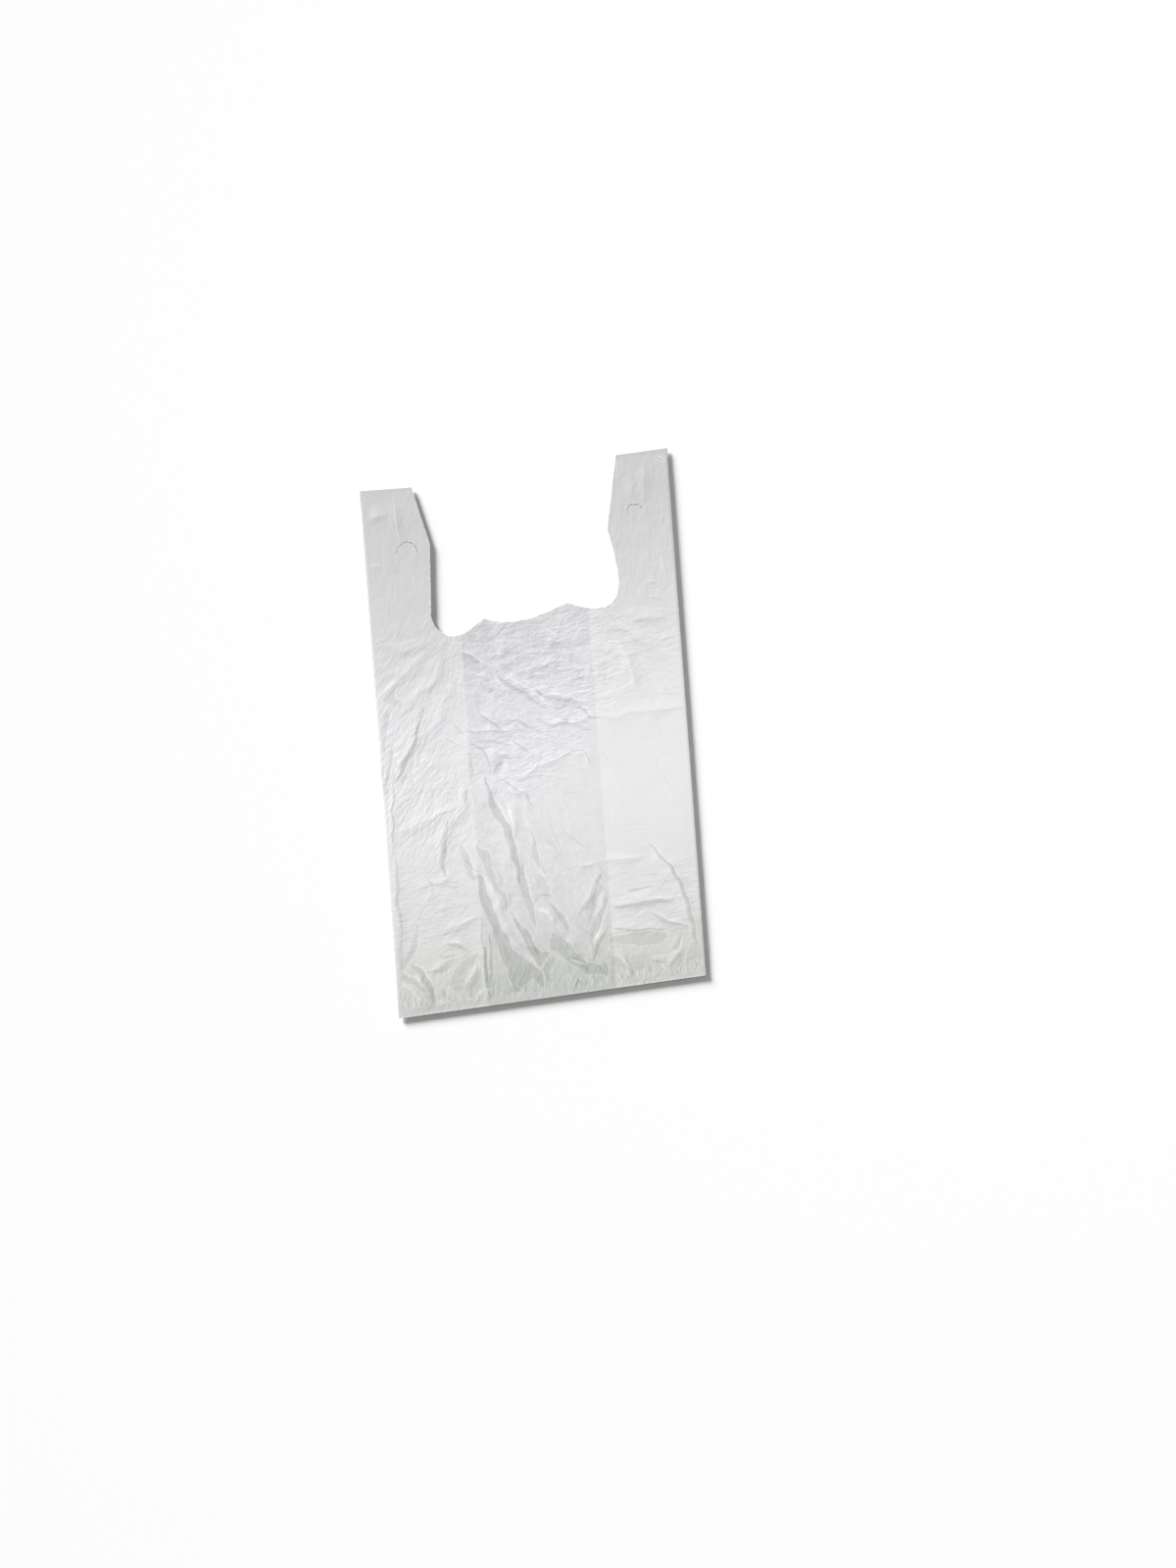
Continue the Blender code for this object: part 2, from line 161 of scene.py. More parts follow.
LEFT_FOLDS = (
    (0.45, 9, 8, ((-65, -50), (-73, -53), (-72, -64), (-91, -90), (-98, -103), (-97, -119),
        (-102, -127))),
    (0.3, 9, 9, ((-67, -61), (-91, -71), (-113, -80), (-134, -89), (-141, -98))),
    (0.4, 9, 12, ((-109, 23), (-124, -9), (-140, -39))),
    (-0.3, 9, 9, ((-107, -7), (-121, -23), (-130, -50))),
    (0.35, 5, 7, ((-141, -41), (-142, -54), (-145, -72), (-146, -106), (-142, -112))),
    (0.35, 5, 7, ((-142, -112), (-145, -134), (-146, -159), (-144, -190), (-146, -221))),
    (0.25, 7, 7, ((-109, -141), (-125, -140))),
    (0.25, 7, 7, ((-109, -141), (-88, -135))),
    (0.3, 7, 7, ((-109, -165), (-91, -165))),
    (0.4, 9, 8, ((-104, -193), (-67, -175))),
    (0.5, 9, 8, ((-102, -198), (-78, -209))),
    (0.4, 9, 8, ((-121, -226), (-95, -214))),
    (0.45, 9, 8, ((-137, -218), (-126, -229), (-122, -247), (-118, -261))),
    (0.4, 8, 8, ((-145, -236), (-128, -252), (-119, -262))),
    (0.5, 8, 8, ((-88, -248), (-77, -232), (-68, -218))),
    (0.3, 9, 9, ((-78, 84), (-100, 52), (-128, 30))),
    (0.3, 9, 9, ((-74, 60), (-92, 20), (-104, -4))),
    (0.25, 9, 9, ((-92, 88), (-118, 70), (-144, 64))),
    (0.25, 8, 8, ((-90, 96), (-120, 92), (-150, 96))),
)
RIGHT_FOLDS = (
    (0.22, 12, 3, ((61, 9), (87, 9), (123, 12), (152, 15))),
    (0.45, 8, 12, ((105, -116), (115, -127), (127, -143), (132, -154), (139, -176), (144, -196),
        (148, -217))),
    (0.3, 9, 8, ((54, -130), (77, -130), (101, -131))),
    (0.4, 12, 9, ((62, -174), (87, -173), (103, -172), (129, -174))),
    (0.4, 9, 9, ((61, -199), (81, -196), (100, -201), (116, -199))),
    (0.4, 9, 9, ((100, -184), (116, -192), (134, -201), (142, -210))),
    (0.4, 9, 9, ((64, -219), (74, -233), (81, -247))),
    (0.35, 9, 9, ((135, -204), (125, -223), (116, -244))),
    (0.25, 6, 6, ((98, -231), (111, -233))),
    (0.2, 5, 5, ((76, 80), (86, 82))),
    (0.2, 5, 5, ((75, 77), (87, 76))),
    (0.2, 5, 5, ((124, 83), (147, 83))),
    (0.4, 12, 9, ((80, 104), (104, 92), (134, 66))),
    (0.5, 9, 9, ((86, 92), (100, 62), (108, 30))),
    (0.4, 10, 10, ((92, 112), (120, 106), (148, 104))),
)
HANDLE_FOLDS = (
    (0.3, 8, 8, ((-148, 223), (-125, 228))),
    (0.3, 8, 8, ((-119, 245), (-118, 210), (-114, 194))),
    (0.15, 6, 6, ((-152, 176), (-133, 175))),
    (0.15, 6, 6, ((-152, 101), (-134, 101))),
    (0.3, 8, 8, ((130, 263), (128, 223))),
    (0.3, 7, 7, ((118, 242), (113, 222))),
    (0.15, 5, 4, ((125, 125), (135, 126))),
    (0.15, 5, 4, ((122, 138), (133, 139))),
)
FOLD_CHANNELS = 3  # folds that cross are kept in different channels
FOLD_REACH = 0.35  # how far, in widths, a fold's crest is followed beyond its feet
CREST_START, CREST_SHARE = 0.45, 0.4  # where on a fold's flank its sharp crest starts, and how high it is
CREST_HEAD, CREST_TAPER = 2 * MM, 10 * MM  # what is left of a crest at its end, and the way it fades over
FOLD_TAPER = 0.028  # over how long a way the fold's own end runs out

# Painted shade and painted highlights of crumpled film facets turned from the light or towards it, as
# spindles: how much darker or lighter they are painted, in percent, and points of (x, y, half width) in
# millimetres
MIDDLE_FACETS = (
    (5, ((-60, -134, 1.0), (-52, -151, 2.6), (-45, -169, 2.6), (-39, -192, 1.2))),
    (-14, ((-50, -36, 0.8), (-48, -54, 2.4), (-43, -72, 4.2), (-34, -88, 4.4), (-29, -110, 4.6),
        (-25, -138, 2.6), (-22, -148, 1.0))),
    (6, ((-36, -55, 0.8), (-28, -76, 1.5), (-25, -96, 0.8))),
    (-10, ((-36, -42, 0.8), (-20, -53, 1.8), (-10, -60, 1.4), (-5, -72, 0.8))),
    (-12, ((-40, -41, 2.0), (-36, -32, 4.6), (-32, -25, 2.0))),
    (-11, ((-21, -126, 1.5), (-21, -148, 4.8), (-16, -170, 4.0), (-11, -190, 1.5))),
    (-8, ((-8, -103, 1.5), (-7, -122, 4.0), (-3, -134, 1.5))),
    (-5, ((-8, -138, 4.0), (-1, -152, 6.0), (3, -164, 3.0))),
    (-9, ((-13, -169, 0.8), (-5, -160, 1.2), (8, -160, 0.8))),
    (6, ((-10, -167, 0.8), (0, -177, 1.6), (15, -197, 0.8))),
    (-10, ((2, -168, 1.2), (14, -182, 3.6), (21, -198, 1.5))),
    (-12, ((-34, -179, 1.5), (-21, -198, 4.0), (-11, -217, 1.5))),
    (6, ((-39, -196, 0.8), (-24, -214, 1.8), (-10, -231, 0.8))),
    (-10, ((14, -203, 1.5), (28, -225, 4.0), (40, -239, 2.0))),
    (13, ((20.5, -223, 0.8), (28, -228.3, 1.6), (36.5, -231.6, 0.8))),
    (-11, ((59, -141, 1.2), (49, -154, 3.4), (42, -168, 3.2), (31, -183, 1.2))),
    (5, ((58, -159, 1.2), (52, -174, 2.8), (46, -187, 1.2))),
    (-12, ((61, -164, 1.5), (50, -187, 4.2), (43, -203, 3.6), (42, -217, 1.5))),
    (-9, ((59, -194, 0.8), (46, -219, 1.8), (42, -228, 1.0))),
    (9, ((58, -210, 0.8), (59, -216, 1.8), (61, -222, 0.8))),
    (-12, ((-64, -175, 0.8), (-64.7, -194, 1.2), (-63.2, -216, 1.6), (-63.6, -244, 1.6))),
    (-12, ((-57.4, -193, 0.8), (-57, -220, 1.6), (-60.4, -244, 1.2))),
    (7, ((-60.5, -205, 0.8), (-60.5, -225, 1.2), (-61, -236, 0.8))),
    (-9, ((-31, 59, 1.2), (-22, 51, 2.4), (-13, 44, 2.6), (-1, 36, 2.6), (9, 27, 1.6), (16, 24, 0.8))),
    (4, ((-66, 90, 0.6), (-46, 76, 1.6), (-30, 67, 1.2), (-21, 57, 1.4), (-4, 46.5, 1.8),
        (8, 37, 1.8), (18, 26, 0.8))),
    (-8, ((-63, 85, 0.8), (-52, 76, 2.5), (-44, 71, 1.2))),
    (4, ((-16, 61, 1.0), (4, 63, 3.5), (24, 66, 4.5), (44, 71, 1.5))),
    (-7, ((-14, 53, 0.8), (8, 55, 2.2), (28, 59, 2.6), (46, 61, 1.2))),
    (-12, ((4, 44, 0.8), (12, 36, 2.0), (21, 34, 3.2), (32, 30.5, 2.8), (48, 28.5, 0.8))),
    (-11, ((43, 25, 0.8), (51, 19.5, 2.0), (58, 11, 1.8), (66, 10.4, 0.9), (76, 10.3, 0.7))),
    (-9, ((3, 16, 0.8), (10, 12, 1.6), (15.5, 6.5, 1.4), (27, 7.4, 1.6), (38, 7, 1.4), (57, 8, 0.7))),
    (-8, ((27, 13, 0.7), (34, 8.6, 1.5), (40, 7, 0.8))),
    (-11, ((-66, 6.5, 2.2), (-57, 5, 1.8), (-41, 5, 0.9), (-29.5, 4, 1.3), (-11, 5, 0.7))),
    (-10, ((-54, 28, 0.7), (-40, 14, 1.8), (-29, 4.5, 1.6))),
    (-7, ((-42, 13, 1.2), (-28, 12, 3.0), (-14, 14, 1.2))),
    (-10, ((-27, 17, 0.7), (-13.6, 13, 1.8), (-6, 7.5, 1.8), (2, 4, 1.2), (11, -2.3, 0.7))),
    (-10, ((-56, -4.5, 0.8), (-44, -4.1, 2.4), (-34, -7.5, 2.0), (-22, -10.2, 0.7))),
    (-10, ((-62, -4.6, 0.7), (-51, -11.6, 1.6), (-46.5, -20, 1.8), (-44, -31, 1.0))),
    (-9, ((-21, -5, 1.0), (-12, -13, 2.0), (-2, -21, 0.8))),
    (-10, ((-41, -16.2, 0.7), (-31, -18.8, 1.3), (-23, -22, 0.7))),
    (-8, ((-58.6, -35, 0.7), (-53, -34, 1.5), (-47.4, -32.5, 0.7))),
    (-9, ((-20, -46, 0.7), (-6, -40, 1.2), (2, -35, 1.4), (6, -22, 1.0), (6.5, -16, 0.6))),
    (-9, ((10, -31, 0.7), (22, -28, 1.4), (32, -24, 1.6), (41, -19.5, 1.0), (48, -19.5, 1.4),
        (55, -35, 0.8))),
    (-8, ((-66, -12, 1.5), (-63, -30, 3.0), (-65, -45, 1.5))),
    (5, ((-36, 62, 0.8), (-30, 55, 1.6), (-24, 46, 0.8))),
    (-7, ((34, 104, 0.8), (29, 90, 1.6), (21, 82, 0.8))),
    (5, ((22, 100, 0.8), (30, 94, 2.2), (48, 100, 0.8))),
    (-6, ((-60, 62, 1.2), (-50, 60, 2.4), (-40, 55, 1.2))),
    (-7, ((-56, 32, 0.8), (-50, 33, 1.6), (-41, 36, 0.8))),
    (4, ((-50, 44, 0.8), (-38, 40, 2.6), (-26, 46, 0.8))),
    (-5, ((40, 66, 0.8), (48, 58, 1.8), (54, 46, 1.0))),
    (-6, ((14, -137, 0.4), (36, -134, 0.8), (60, -131, 0.5))),
    (-7, ((-10, -95, 0.5), (-7, -104, 1.4), (-4, -113, 0.6))),
    (-7, ((-5, -118, 0.5), (-1, -128, 1.6), (3, -141, 0.6))),
    (-6, ((8, -84, 0.4), (13, -96, 0.9), (15, -108, 0.4))),
    (5, ((-18, -72, 0.5), (-10, -90, 1.2), (-8, -100, 0.5))),
    (6, ((-33, -96, 0.5), (-30, -120, 1.0), (-28, -140, 0.5))),
    (-6, ((20, -58, 0.4), (32, -62, 0.8), (44, -60, 0.4))),
    (-5, ((30, -100, 0.4), (38, -112, 0.8), (50, -118, 0.4))),
)
LEFT_FACETS = (
    (-13, ((-105, 36, 1.2), (-109, 22, 2.0), (-115, 5, 2.4), (-122, -10, 3.4), (-130, -23, 3.2),
        (-138, -38, 1.4))),
    (-8, ((-102, 12, 0.6), (-110, -8, 1.3), (-118, -26, 0.6))),
    (-10, ((-139, -3, 1.2), (-143, -22, 2.0), (-151, -48, 1.4))),
    (-9, ((-141, 33, 3.5), (-146, 10, 3.0), (-146, -8, 1.5))),
    (-7, ((-150, -18, 2.0), (-151, -36, 2.4), (-151, -46, 1.0))),
    (-8, ((-128, 64, 0.8), (-134, 55, 2.0), (-138, 42, 5.0), (-128, 36, 3.0))),
    (6, ((-151, 46, 0.8), (-136, 58, 2.4), (-126, 67, 2.0), (-116, 72, 0.8))),
    (-11, ((-141, -41, 0.7), (-140.4, -53, 1.2), (-143.5, -64, 1.2), (-143.8, -82, 1.0),
        (-145, -98, 1.2))),
    (-9, ((-142.5, -112, 1.0), (-145.2, -146, 2.2), (-144.2, -175, 2.6), (-146.6, -210, 3.0),
        (-145.3, -225, 2.0))),
    (-9, ((-87.4, 3, 0.6), (-79, -3, 1.2), (-71, -10, 0.6))),
    (-7, ((-79, 17, 0.8), (-73, 10, 2.0), (-67, 3, 1.0))),
    (-11, ((-68, -49, 2.0), (-72, -58, 2.6), (-73, -64, 1.2), (-86, -80, 1.2), (-92, -91, 1.4))),
    (5, ((-75, -66, 0.7), (-84, -80, 1.6), (-90, -91, 0.7))),
    (-14, ((-89, -76, 1.0), (-94, -92, 3.0), (-97, -102, 3.2), (-96, -112, 4.2), (-99.5, -122, 3.0),
        (-95.7, -135, 1.0))),
    (-8, ((-137, -90, 0.8), (-119, -81, 1.0), (-101, -75, 0.7))),
    (-9, ((-100, -75, 0.6), (-91, -72, 1.8), (-80, -68, 0.6))),
    (-7, ((-89, -49, 0.6), (-84, -48, 1.2), (-79, -46, 0.6))),
    (-9, ((-80, -104, 1.8), (-75, -119, 4.0), (-71.4, -133, 4.0), (-66.4, -142, 1.5))),
    (-9, ((-77, -118, 0.6), (-68, -128, 1.2), (-59, -133, 0.6))),
    (-10, ((-114.2, -134, 0.6), (-108.4, -141, 1.3), (-109.5, -152, 0.6))),
    (-9, ((-125, -144, 0.5), (-108.3, -142, 1.0), (-100, -141.5, 1.0), (-80, -141, 0.5))),
    (-7, ((-104, -144, 0.8), (-93, -145.5, 1.6), (-84, -145, 0.8))),
    (-6, ((-110.7, -151, 0.8), (-120.6, -165, 1.8), (-126.4, -178, 1.0))),
    (-9, ((-127, -178, 1.2), (-131, -198, 3.0), (-140.5, -216, 3.0), (-144, -224, 1.0))),
    (-9, ((-112.5, -165, 0.5), (-102, -165, 0.9), (-92, -165, 0.5))),
    (-9, ((-105, -193, 1.5), (-91.5, -186, 2.6), (-78, -180.4, 2.0), (-66.5, -175, 0.8))),
    (-11, ((-102, -198.5, 1.0), (-91, -203, 2.6), (-78.7, -208, 1.0))),
    (-10, ((-111, -212, 0.7), (-101.6, -213, 1.8), (-90.3, -212, 0.7))),
    (-8, ((-121, -226, 1.0), (-107.5, -226.6, 2.6), (-95.8, -222, 1.2))),
    (-13, ((-137, -218, 1.0), (-127.6, -226, 4.0), (-122.7, -236, 4.2), (-118, -249, 3.6),
        (-116, -258, 2.0))),
    (-9, ((-148, -226, 2.5), (-138.6, -233, 4.0), (-128, -242, 3.0), (-120, -256, 1.5))),
    (-10, ((-107, -243, 2.0), (-106, -249, 3.2), (-102.5, -255, 2.0))),
    (6, ((-69, -228, 0.7), (-77, -237, 1.0), (-83, -247, 0.7))),
    (5, ((-148, -233, 0.8), (-137, -245, 2.0), (-128, -256, 1.5))),
)
RIGHT_FACETS = (
    (-13, ((104, -113, 0.7), (115.5, -129, 1.6), (127.8, -143.5, 1.8), (135, -162, 2.6),
        (139.4, -182, 2.8), (142.7, -201, 2.6), (145.4, -218, 1.0))),
    (-7, ((127.7, -145, 0.6), (118.3, -155, 0.9), (110, -165, 0.6))),
    (-9, ((81, -162, 2.0), (93, -160, 1.8), (108.4, -159.4, 0.7))),
    (-11, ((66, -177, 1.5), (80, -176.6, 2.2), (93.7, -175.7, 2.8), (109.3, -173, 3.4),
        (126.4, -175, 1.2))),
    (-11, ((101.7, -184.5, 1.2), (111.8, -191.4, 2.8), (123, -196, 2.4), (138, -202, 0.9))),
    (-10, ((64, -198, 0.8), (78.6, -198.6, 1.0), (99.6, -200.5, 0.9), (116, -201.5, 0.7))),
    (-10, ((132, -204, 2.0), (126.3, -215.5, 3.0), (120, -223, 1.4))),
    (-11, ((99, -233, 0.8), (106.7, -233.3, 1.3), (117.2, -234.4, 0.7))),
    (-10, ((75, -226, 1.4), (79, -237, 2.4), (82, -247, 1.4))),
    (6, ((60, -204, 0.5), (70, -202.6, 0.9), (82, -201.4, 0.5))),
    (6, ((67, -221, 0.6), (79.7, -237.5, 1.5), (84, -240, 0.6))),
    (12, ((131, -239.5, 0.5), (130, -243, 1.0), (129, -247, 0.5))),
    (9, ((119, -239, 0.5), (116.5, -243, 1.0), (114, -247, 0.5))),
    (12, ((57.5, -217, 0.5), (60.5, -215, 1.0), (63.5, -213, 0.5))),
    (6, ((101, -228, 0.8), (112, -227.5, 2.2), (128, -222, 1.4), (134, -208, 0.8))),
    (5, ((84, -188, 0.8), (92, -184, 2.2), (99, -180, 0.8))),
    (-6, ((55, -130, 0.6), (77, -130, 0.9), (101, -131, 0.6))),
    (-8, ((84, 12, 0.6), (110, 12, 0.8), (152, 14.5, 0.6))),
    (-7, ((124, 83, 0.5), (136, 83, 0.9), (148, 83, 0.5))),
    (-7, ((122, 30, 0.5), (136, 29, 0.9), (150, 30, 0.5))),
    (-5, ((65, -18, 0.4), (69, -27, 0.9), (78, -36, 0.4))),
    (-5, ((79, -95, 0.4), (90, -96, 0.8), (104, -97, 0.4))),
    (-4, ((84, -102, 0.4), (96, -103, 0.7), (108, -103, 0.4))),
    (-4, ((112, -28, 0.4), (126, -52, 0.8), (134, -70, 0.4))),
)
HANDLE_FACETS = (
    (8, ((-150, 222, 0.4), (-139, 225, 0.9), (-127, 227.8, 0.4))),
    (-4, ((-148, 218, 1.0), (-138, 219, 4.0), (-128, 224, 2.0))),
    (6, ((-149, 177, 0.4), (-141, 176, 0.9), (-131, 173, 0.4))),
    (9, ((-151, 247, 0.4), (-148, 243, 1.2), (-145, 238, 0.4))),
    (8, ((-147, 248, 0.4), (-144, 245, 0.9), (-140, 243, 0.4))),
    (5, ((-119, 246, 0.5), (-118.8, 218, 1.0), (-116.8, 196, 0.5))),
    (-4, ((-121.5, 244, 0.6), (-122, 220, 1.6), (-119, 200, 0.6))),
    (-8, ((130, 262, 0.5), (128.5, 238, 1.1), (127.5, 214, 0.5))),
    (-6, ((121, 260, 0.5), (117, 246, 1.0), (112, 231, 0.5))),
    (9, ((141, 265, 0.4), (146, 262, 1.1), (151, 257, 0.4))),
    (7, ((138, 261, 0.4), (144, 258.5, 0.8), (150, 256, 0.4))),
    (8, ((104.5, 263, 0.4), (107, 260, 1.0), (108, 255, 0.4))),
    (7, ((122, 140, 0.4), (128, 141.5, 0.9), (134, 140, 0.4))),
    (-5, ((122, 137, 0.4), (129, 138.5, 1.0), (135, 137, 0.4))),
    (7, ((123, 131, 0.4), (130, 132.5, 0.9), (137, 131, 0.4))),
    (7, ((121, 125, 0.4), (129, 126, 0.8), (136, 124.5, 0.4))),
    (4, ((126, 196, 0.4), (138, 204, 0.8), (150, 207, 0.4))),
    (4, ((130, 168, 0.4), (140, 172, 0.8), (150, 174, 0.4))),
)

# Broad facets of painted shade and painted highlight, the same as outlines of (x, y) in millimetres
BROAD_FACETS = (
    (-12, ((-66, -133.5), (-59, -138), (-54, -157), (-46, -182), (-38.5, -200), (-37.5, -207),
        (-20, -224), (-9, -232.5), (-7, -241), (-8, -252), (-13, -244), (-18, -240), (-26, -247),
        (-31, -254), (-37, -251), (-41.5, -237.5), (-41, -230.5), (-46, -224), (-50.5, -206),
        (-58.5, -178), (-64, -161), (-66, -148))),
    (-9, ((-66, -103), (-56, -111), (-51.6, -110.6), (-50.7, -119.5), (-48.4, -131.8),
        (-44.5, -145), (-39.3, -156.7), (-36, -166.6), (-37, -176), (-45.6, -154.6),
        (-52.7, -142.8), (-56.6, -129.6), (-61.3, -117.9), (-65.1, -109.6))),
    (-10, ((-23.2, -208), (-13.1, -208.6), (-6.5, -214.5), (2.6, -215.7), (-7.5, -228.3),
        (-10.7, -229), (-16.5, -219))),
    (-8, ((3, -217.3), (6, -224), (-0.3, -233), (-1.4, -237.3), (2.8, -243), (-0.2, -247),
        (-7, -241.2), (-7.7, -231.5))),
    (-10, ((-1, -213.3), (4, -196), (14, -200), (19.6, -211), (20.7, -217.6), (27.3, -223.4),
        (34.5, -228.8), (49, -230.4), (57, -227), (56, -246), (48.3, -240), (36.2, -241.7),
        (31.8, -236), (22.5, -230.5), (14.4, -223.5), (6.3, -215.4))),
    (-10, ((-62.8, -205), (-59.6, -205.2), (-59.8, -216), (-59.9, -248), (-65.8, -247.5),
        (-65.9, -226), (-65.7, -215.4))),
    (-7, ((-56.7, -217), (-54, -217.3), (-56, -237.5), (-58.3, -251), (-60.7, -251), (-59.1, -237.3))),
    (7, ((-72.3, -247.5), (-66, -247.4), (-67.3, -253.3), (-72, -251.3))),
    (7, ((-66.9, -214.3), (-67, -227.6), (-72.4, -225.9))),
    (-8, ((60.7, -204.5), (80.2, -202.5), (118.7, -204.6), (115.6, -210.3), (112.6, -215.4),
        (90, -215.8), (64.4, -212.8), (60.7, -211.5))),
    (-8, ((60.7, -222.7), (67.9, -224.3), (72.7, -232.7), (78, -241.1), (80.3, -249.3),
        (75.8, -241), (69.2, -236.2), (60.7, -235))),
    (-4, ((71.3, -221.9), (98.1, -222.8), (100.9, -228.4), (97.3, -234.5), (100.8, -245.5),
        (88.2, -241.4), (78, -233.1))),
    (-6, ((130.5, -221), (127.1, -231.4), (121.6, -240), (116.2, -240.2), (120.5, -232.5),
        (125.5, -223.8))),
    (-5, ((138.4, -216.2), (149, -215), (149, -234.3), (139.2, -234.5), (131.3, -240.8), (134, -232))),
    (-8, ((-67.2, -206.2), (-70.4, -215.7), (-76.8, -226.5), (-84.4, -240.4), (-88.3, -249.8),
        (-96.1, -246.8), (-100.8, -240.8), (-97.9, -231.4), (-91.2, -223.8), (-80.8, -214.9))),
    (-7, ((-67.2, -227.2), (-67.8, -247.3), (-77.2, -253.1), (-86.4, -256.4), (-81.4, -243.9),
        (-73.9, -229.9))),
    (-6, ((-33.9, 74.1), (-23.2, 69.8), (-14.6, 74), (-0.4, 79.9), (21.7, 79.7), (48.9, 74.9),
        (37.4, 68.2), (33.4, 71.2), (20.9, 70.1), (1.1, 63.2), (-14.4, 58.2), (-20.9, 63.5))),
    (-5, ((-64.1, 85.2), (-54.4, 77.2), (-45.7, 73.6), (-46.5, 62.6), (-56.7, 64.7), (-64, 68))),
    (-4, ((-58, 106), (-40, 112), (-25, 103), (-20.6, 95.8), (-43.7, 91.3), (-57.3, 93.7))),
    (-5, ((9, 95.8), (23.2, 100.2), (29, 94.3), (22, 84.5), (8, 82), (2.8, 85.9))),
)
FACET_CHANNELS = 8
DARK_CONTRAST, LIGHT_CONTRAST = 1.4, 1.8
FACET_TINT = (1.04, 0.95, 1.01)  # painted shade on a facet is a little greener
SPINDLE_HEAD, SPINDLE_TAPER = 0.5 * MM, 5 * MM  # the same for the ends of a spindle
FACET_MARGIN = 0.0034  # how far beyond its edge a facet is followed: one face of the mesh
BROAD_EDGE = 0.0018  # what a broad facet's edges are measured in, as a spindle's are in its half width
CRISP_EDGE, SOFT_EDGE = 0.15, 0.55  # the shares of a facet's half width over which its edges run out
RIM_PLACE, RIM_SHARE = 0.28, 0.70  # the thin painted highlight outside a facet's crisp edge, and how strong it is

# Finer creases strewn over the front as painted shade and painted highlights: how many, their middle,
# their reach, the point that they fan out from, their length, and how much darker or lighter they are
# painted, in percent
STREAKS = (
    (34, (-110, 55), (40, 50), (-68, 112), (16, 50), 4.5),
    (30, (-112, -35), (36, 50), (-20, 160), (10, 32), 4.0),
    (20, (108, 72), (40, 44), (73, 124), (14, 42), 3.0),
    (34, (0, 72), (60, 42), (-420, 10), (10, 40), 6.0),
    (20, (-26, 20), (40, 34), (-160, 120), (10, 34), 5.0),
    (16, (10, -10), (50, 34), (-200, 60), (8, 26), 3.5),
    (14, (20, -70), (44, 40), (-60, 160), (8, 24), 2.5),
    (46, (0, -160), (60, 60), (-120, 110), (10, 36), 6.0),
    (30, (0, -222), (60, 26), (-90, 60), (10, 28), 6.0),
    (16, (-105, -180), (40, 46), (-420, -230), (8, 24), 3.5),
    (16, (105, -185), (44, 44), (500, -160), (10, 36), 4.5),
    (16, (-118, 190), (30, 60), (-100, 900), (16, 50), 2.5),
    (16, (122, 200), (28, 60), (100, 900), (16, 50), 2.5),
    (20, (105, -40), (40, 70), (60, 300), (8, 26), 2.4),
)
STREAK_WIDTH = (0.5, 1.4)
STREAK_AMOUNT = (0.5, 1.2)  # a crease's share of that percentage
FAN_SPREAD = 0.10  # how far, in radians, a crease may point away from its fan
LIGHT_STREAK_SHARE = 0.35  # these are painted highlights, the rest painted shade
TIP_WIDTH = 0.4

# Short upright creases just above the bottom weld, as painted shade and painted highlights, with the same
# measures
PUCKER_COUNT = 170
PUCKER_LENGTH = (3, 13)
PUCKER_WIDTH = (0.6, 1.5)
PUCKER_AMOUNT = (0.4, 1.2)
PUCKER_PERCENT = 12
PUCKER_LEAN = 0.3
LIGHT_PUCKER_SHARE = 0.3

# Crinkled regions, in millimetres: middle, reach, which way the creases run, and how strong they are
LEVEL, FALLING, RISING, UPRIGHT = range(4)
CREASE_TURN = (math.radians(9), math.radians(-58), math.radians(56), math.radians(84))
CREASE_STRETCH = (2.2, 2.2, 2.4, 2.2)  # how much longer than wide the fine facets are
REGIONS = (
    ((5, 66), (56, 42), LEVEL, 1.9),
    ((12, 76), (50, 38), RISING, 1.0),
    ((-8, 62), (50, 38), FALLING, 1.6),
    ((-30, 24), (40, 30), FALLING, 0.75),
    ((-20, -25), (52, 34), LEVEL, 0.95),
    ((-48, -75), (24, 50), FALLING, 0.75),
    ((30, -75), (38, 44), FALLING, 0.30),
    ((-5, -150), (58, 60), FALLING, 0.65),
    ((0, -238), (62, 22), UPRIGHT, 0.70),
    ((-105, 60), (42, 50), RISING, 0.60),
    ((-125, -30), (30, 50), RISING, 0.85),
    ((-90, -70), (34, 50), RISING, 0.70),
    ((-108, -180), (42, 50), LEVEL, 0.55),
    ((-108, -240), (42, 25), UPRIGHT, 0.80),
    ((105, 75), (42, 32), LEVEL, 0.50),
    ((108, -40), (42, 60), FALLING, 0.20),
    ((105, -180), (42, 50), LEVEL, 0.45),
    ((105, -240), (42, 25), UPRIGHT, 0.80),
    ((-120, 185), (34, 50), UPRIGHT, 0.35),
    ((122, 195), (34, 60), UPRIGHT, 0.40),
)
# Rows of crumple points: spacing along and across the creases, and how far they stand up or down
CRUMPLE_ALONG = 0.026
CRUMPLE_ACROSS = 0.0085
CRUMPLE_HEIGHT = (0.00016, 0.00014, 0.00016, 0.00014)
NET_STEP = 0.005
FOOT_STEP = 0.011
POINT_GAP = 0.0035
FACET_SIZES = ((0.011, 0.022),)  # cell, and steepness of its facets
# The same for the film's finer crinkles, with how much the tone differs from facet to facet
FINE_FACET_SIZES = ((0.0110, 0.0, 0.036), (0.0055, 0.030, 0.030), (0.0030, 0.022, 0.010))
# They wander once in about 17 mm, by this much
WANDER_LENGTH = 1 / 60
WANDER_REACH = 0.006
# Shifts that keep two patterns of cells from lying on each other
SECOND_SET_SHIFT, SIDEWAYS_SHIFT, DIRECTION_SHIFT, SIZE_SHIFT = 0.53, 0.7, 3.0, 1.3
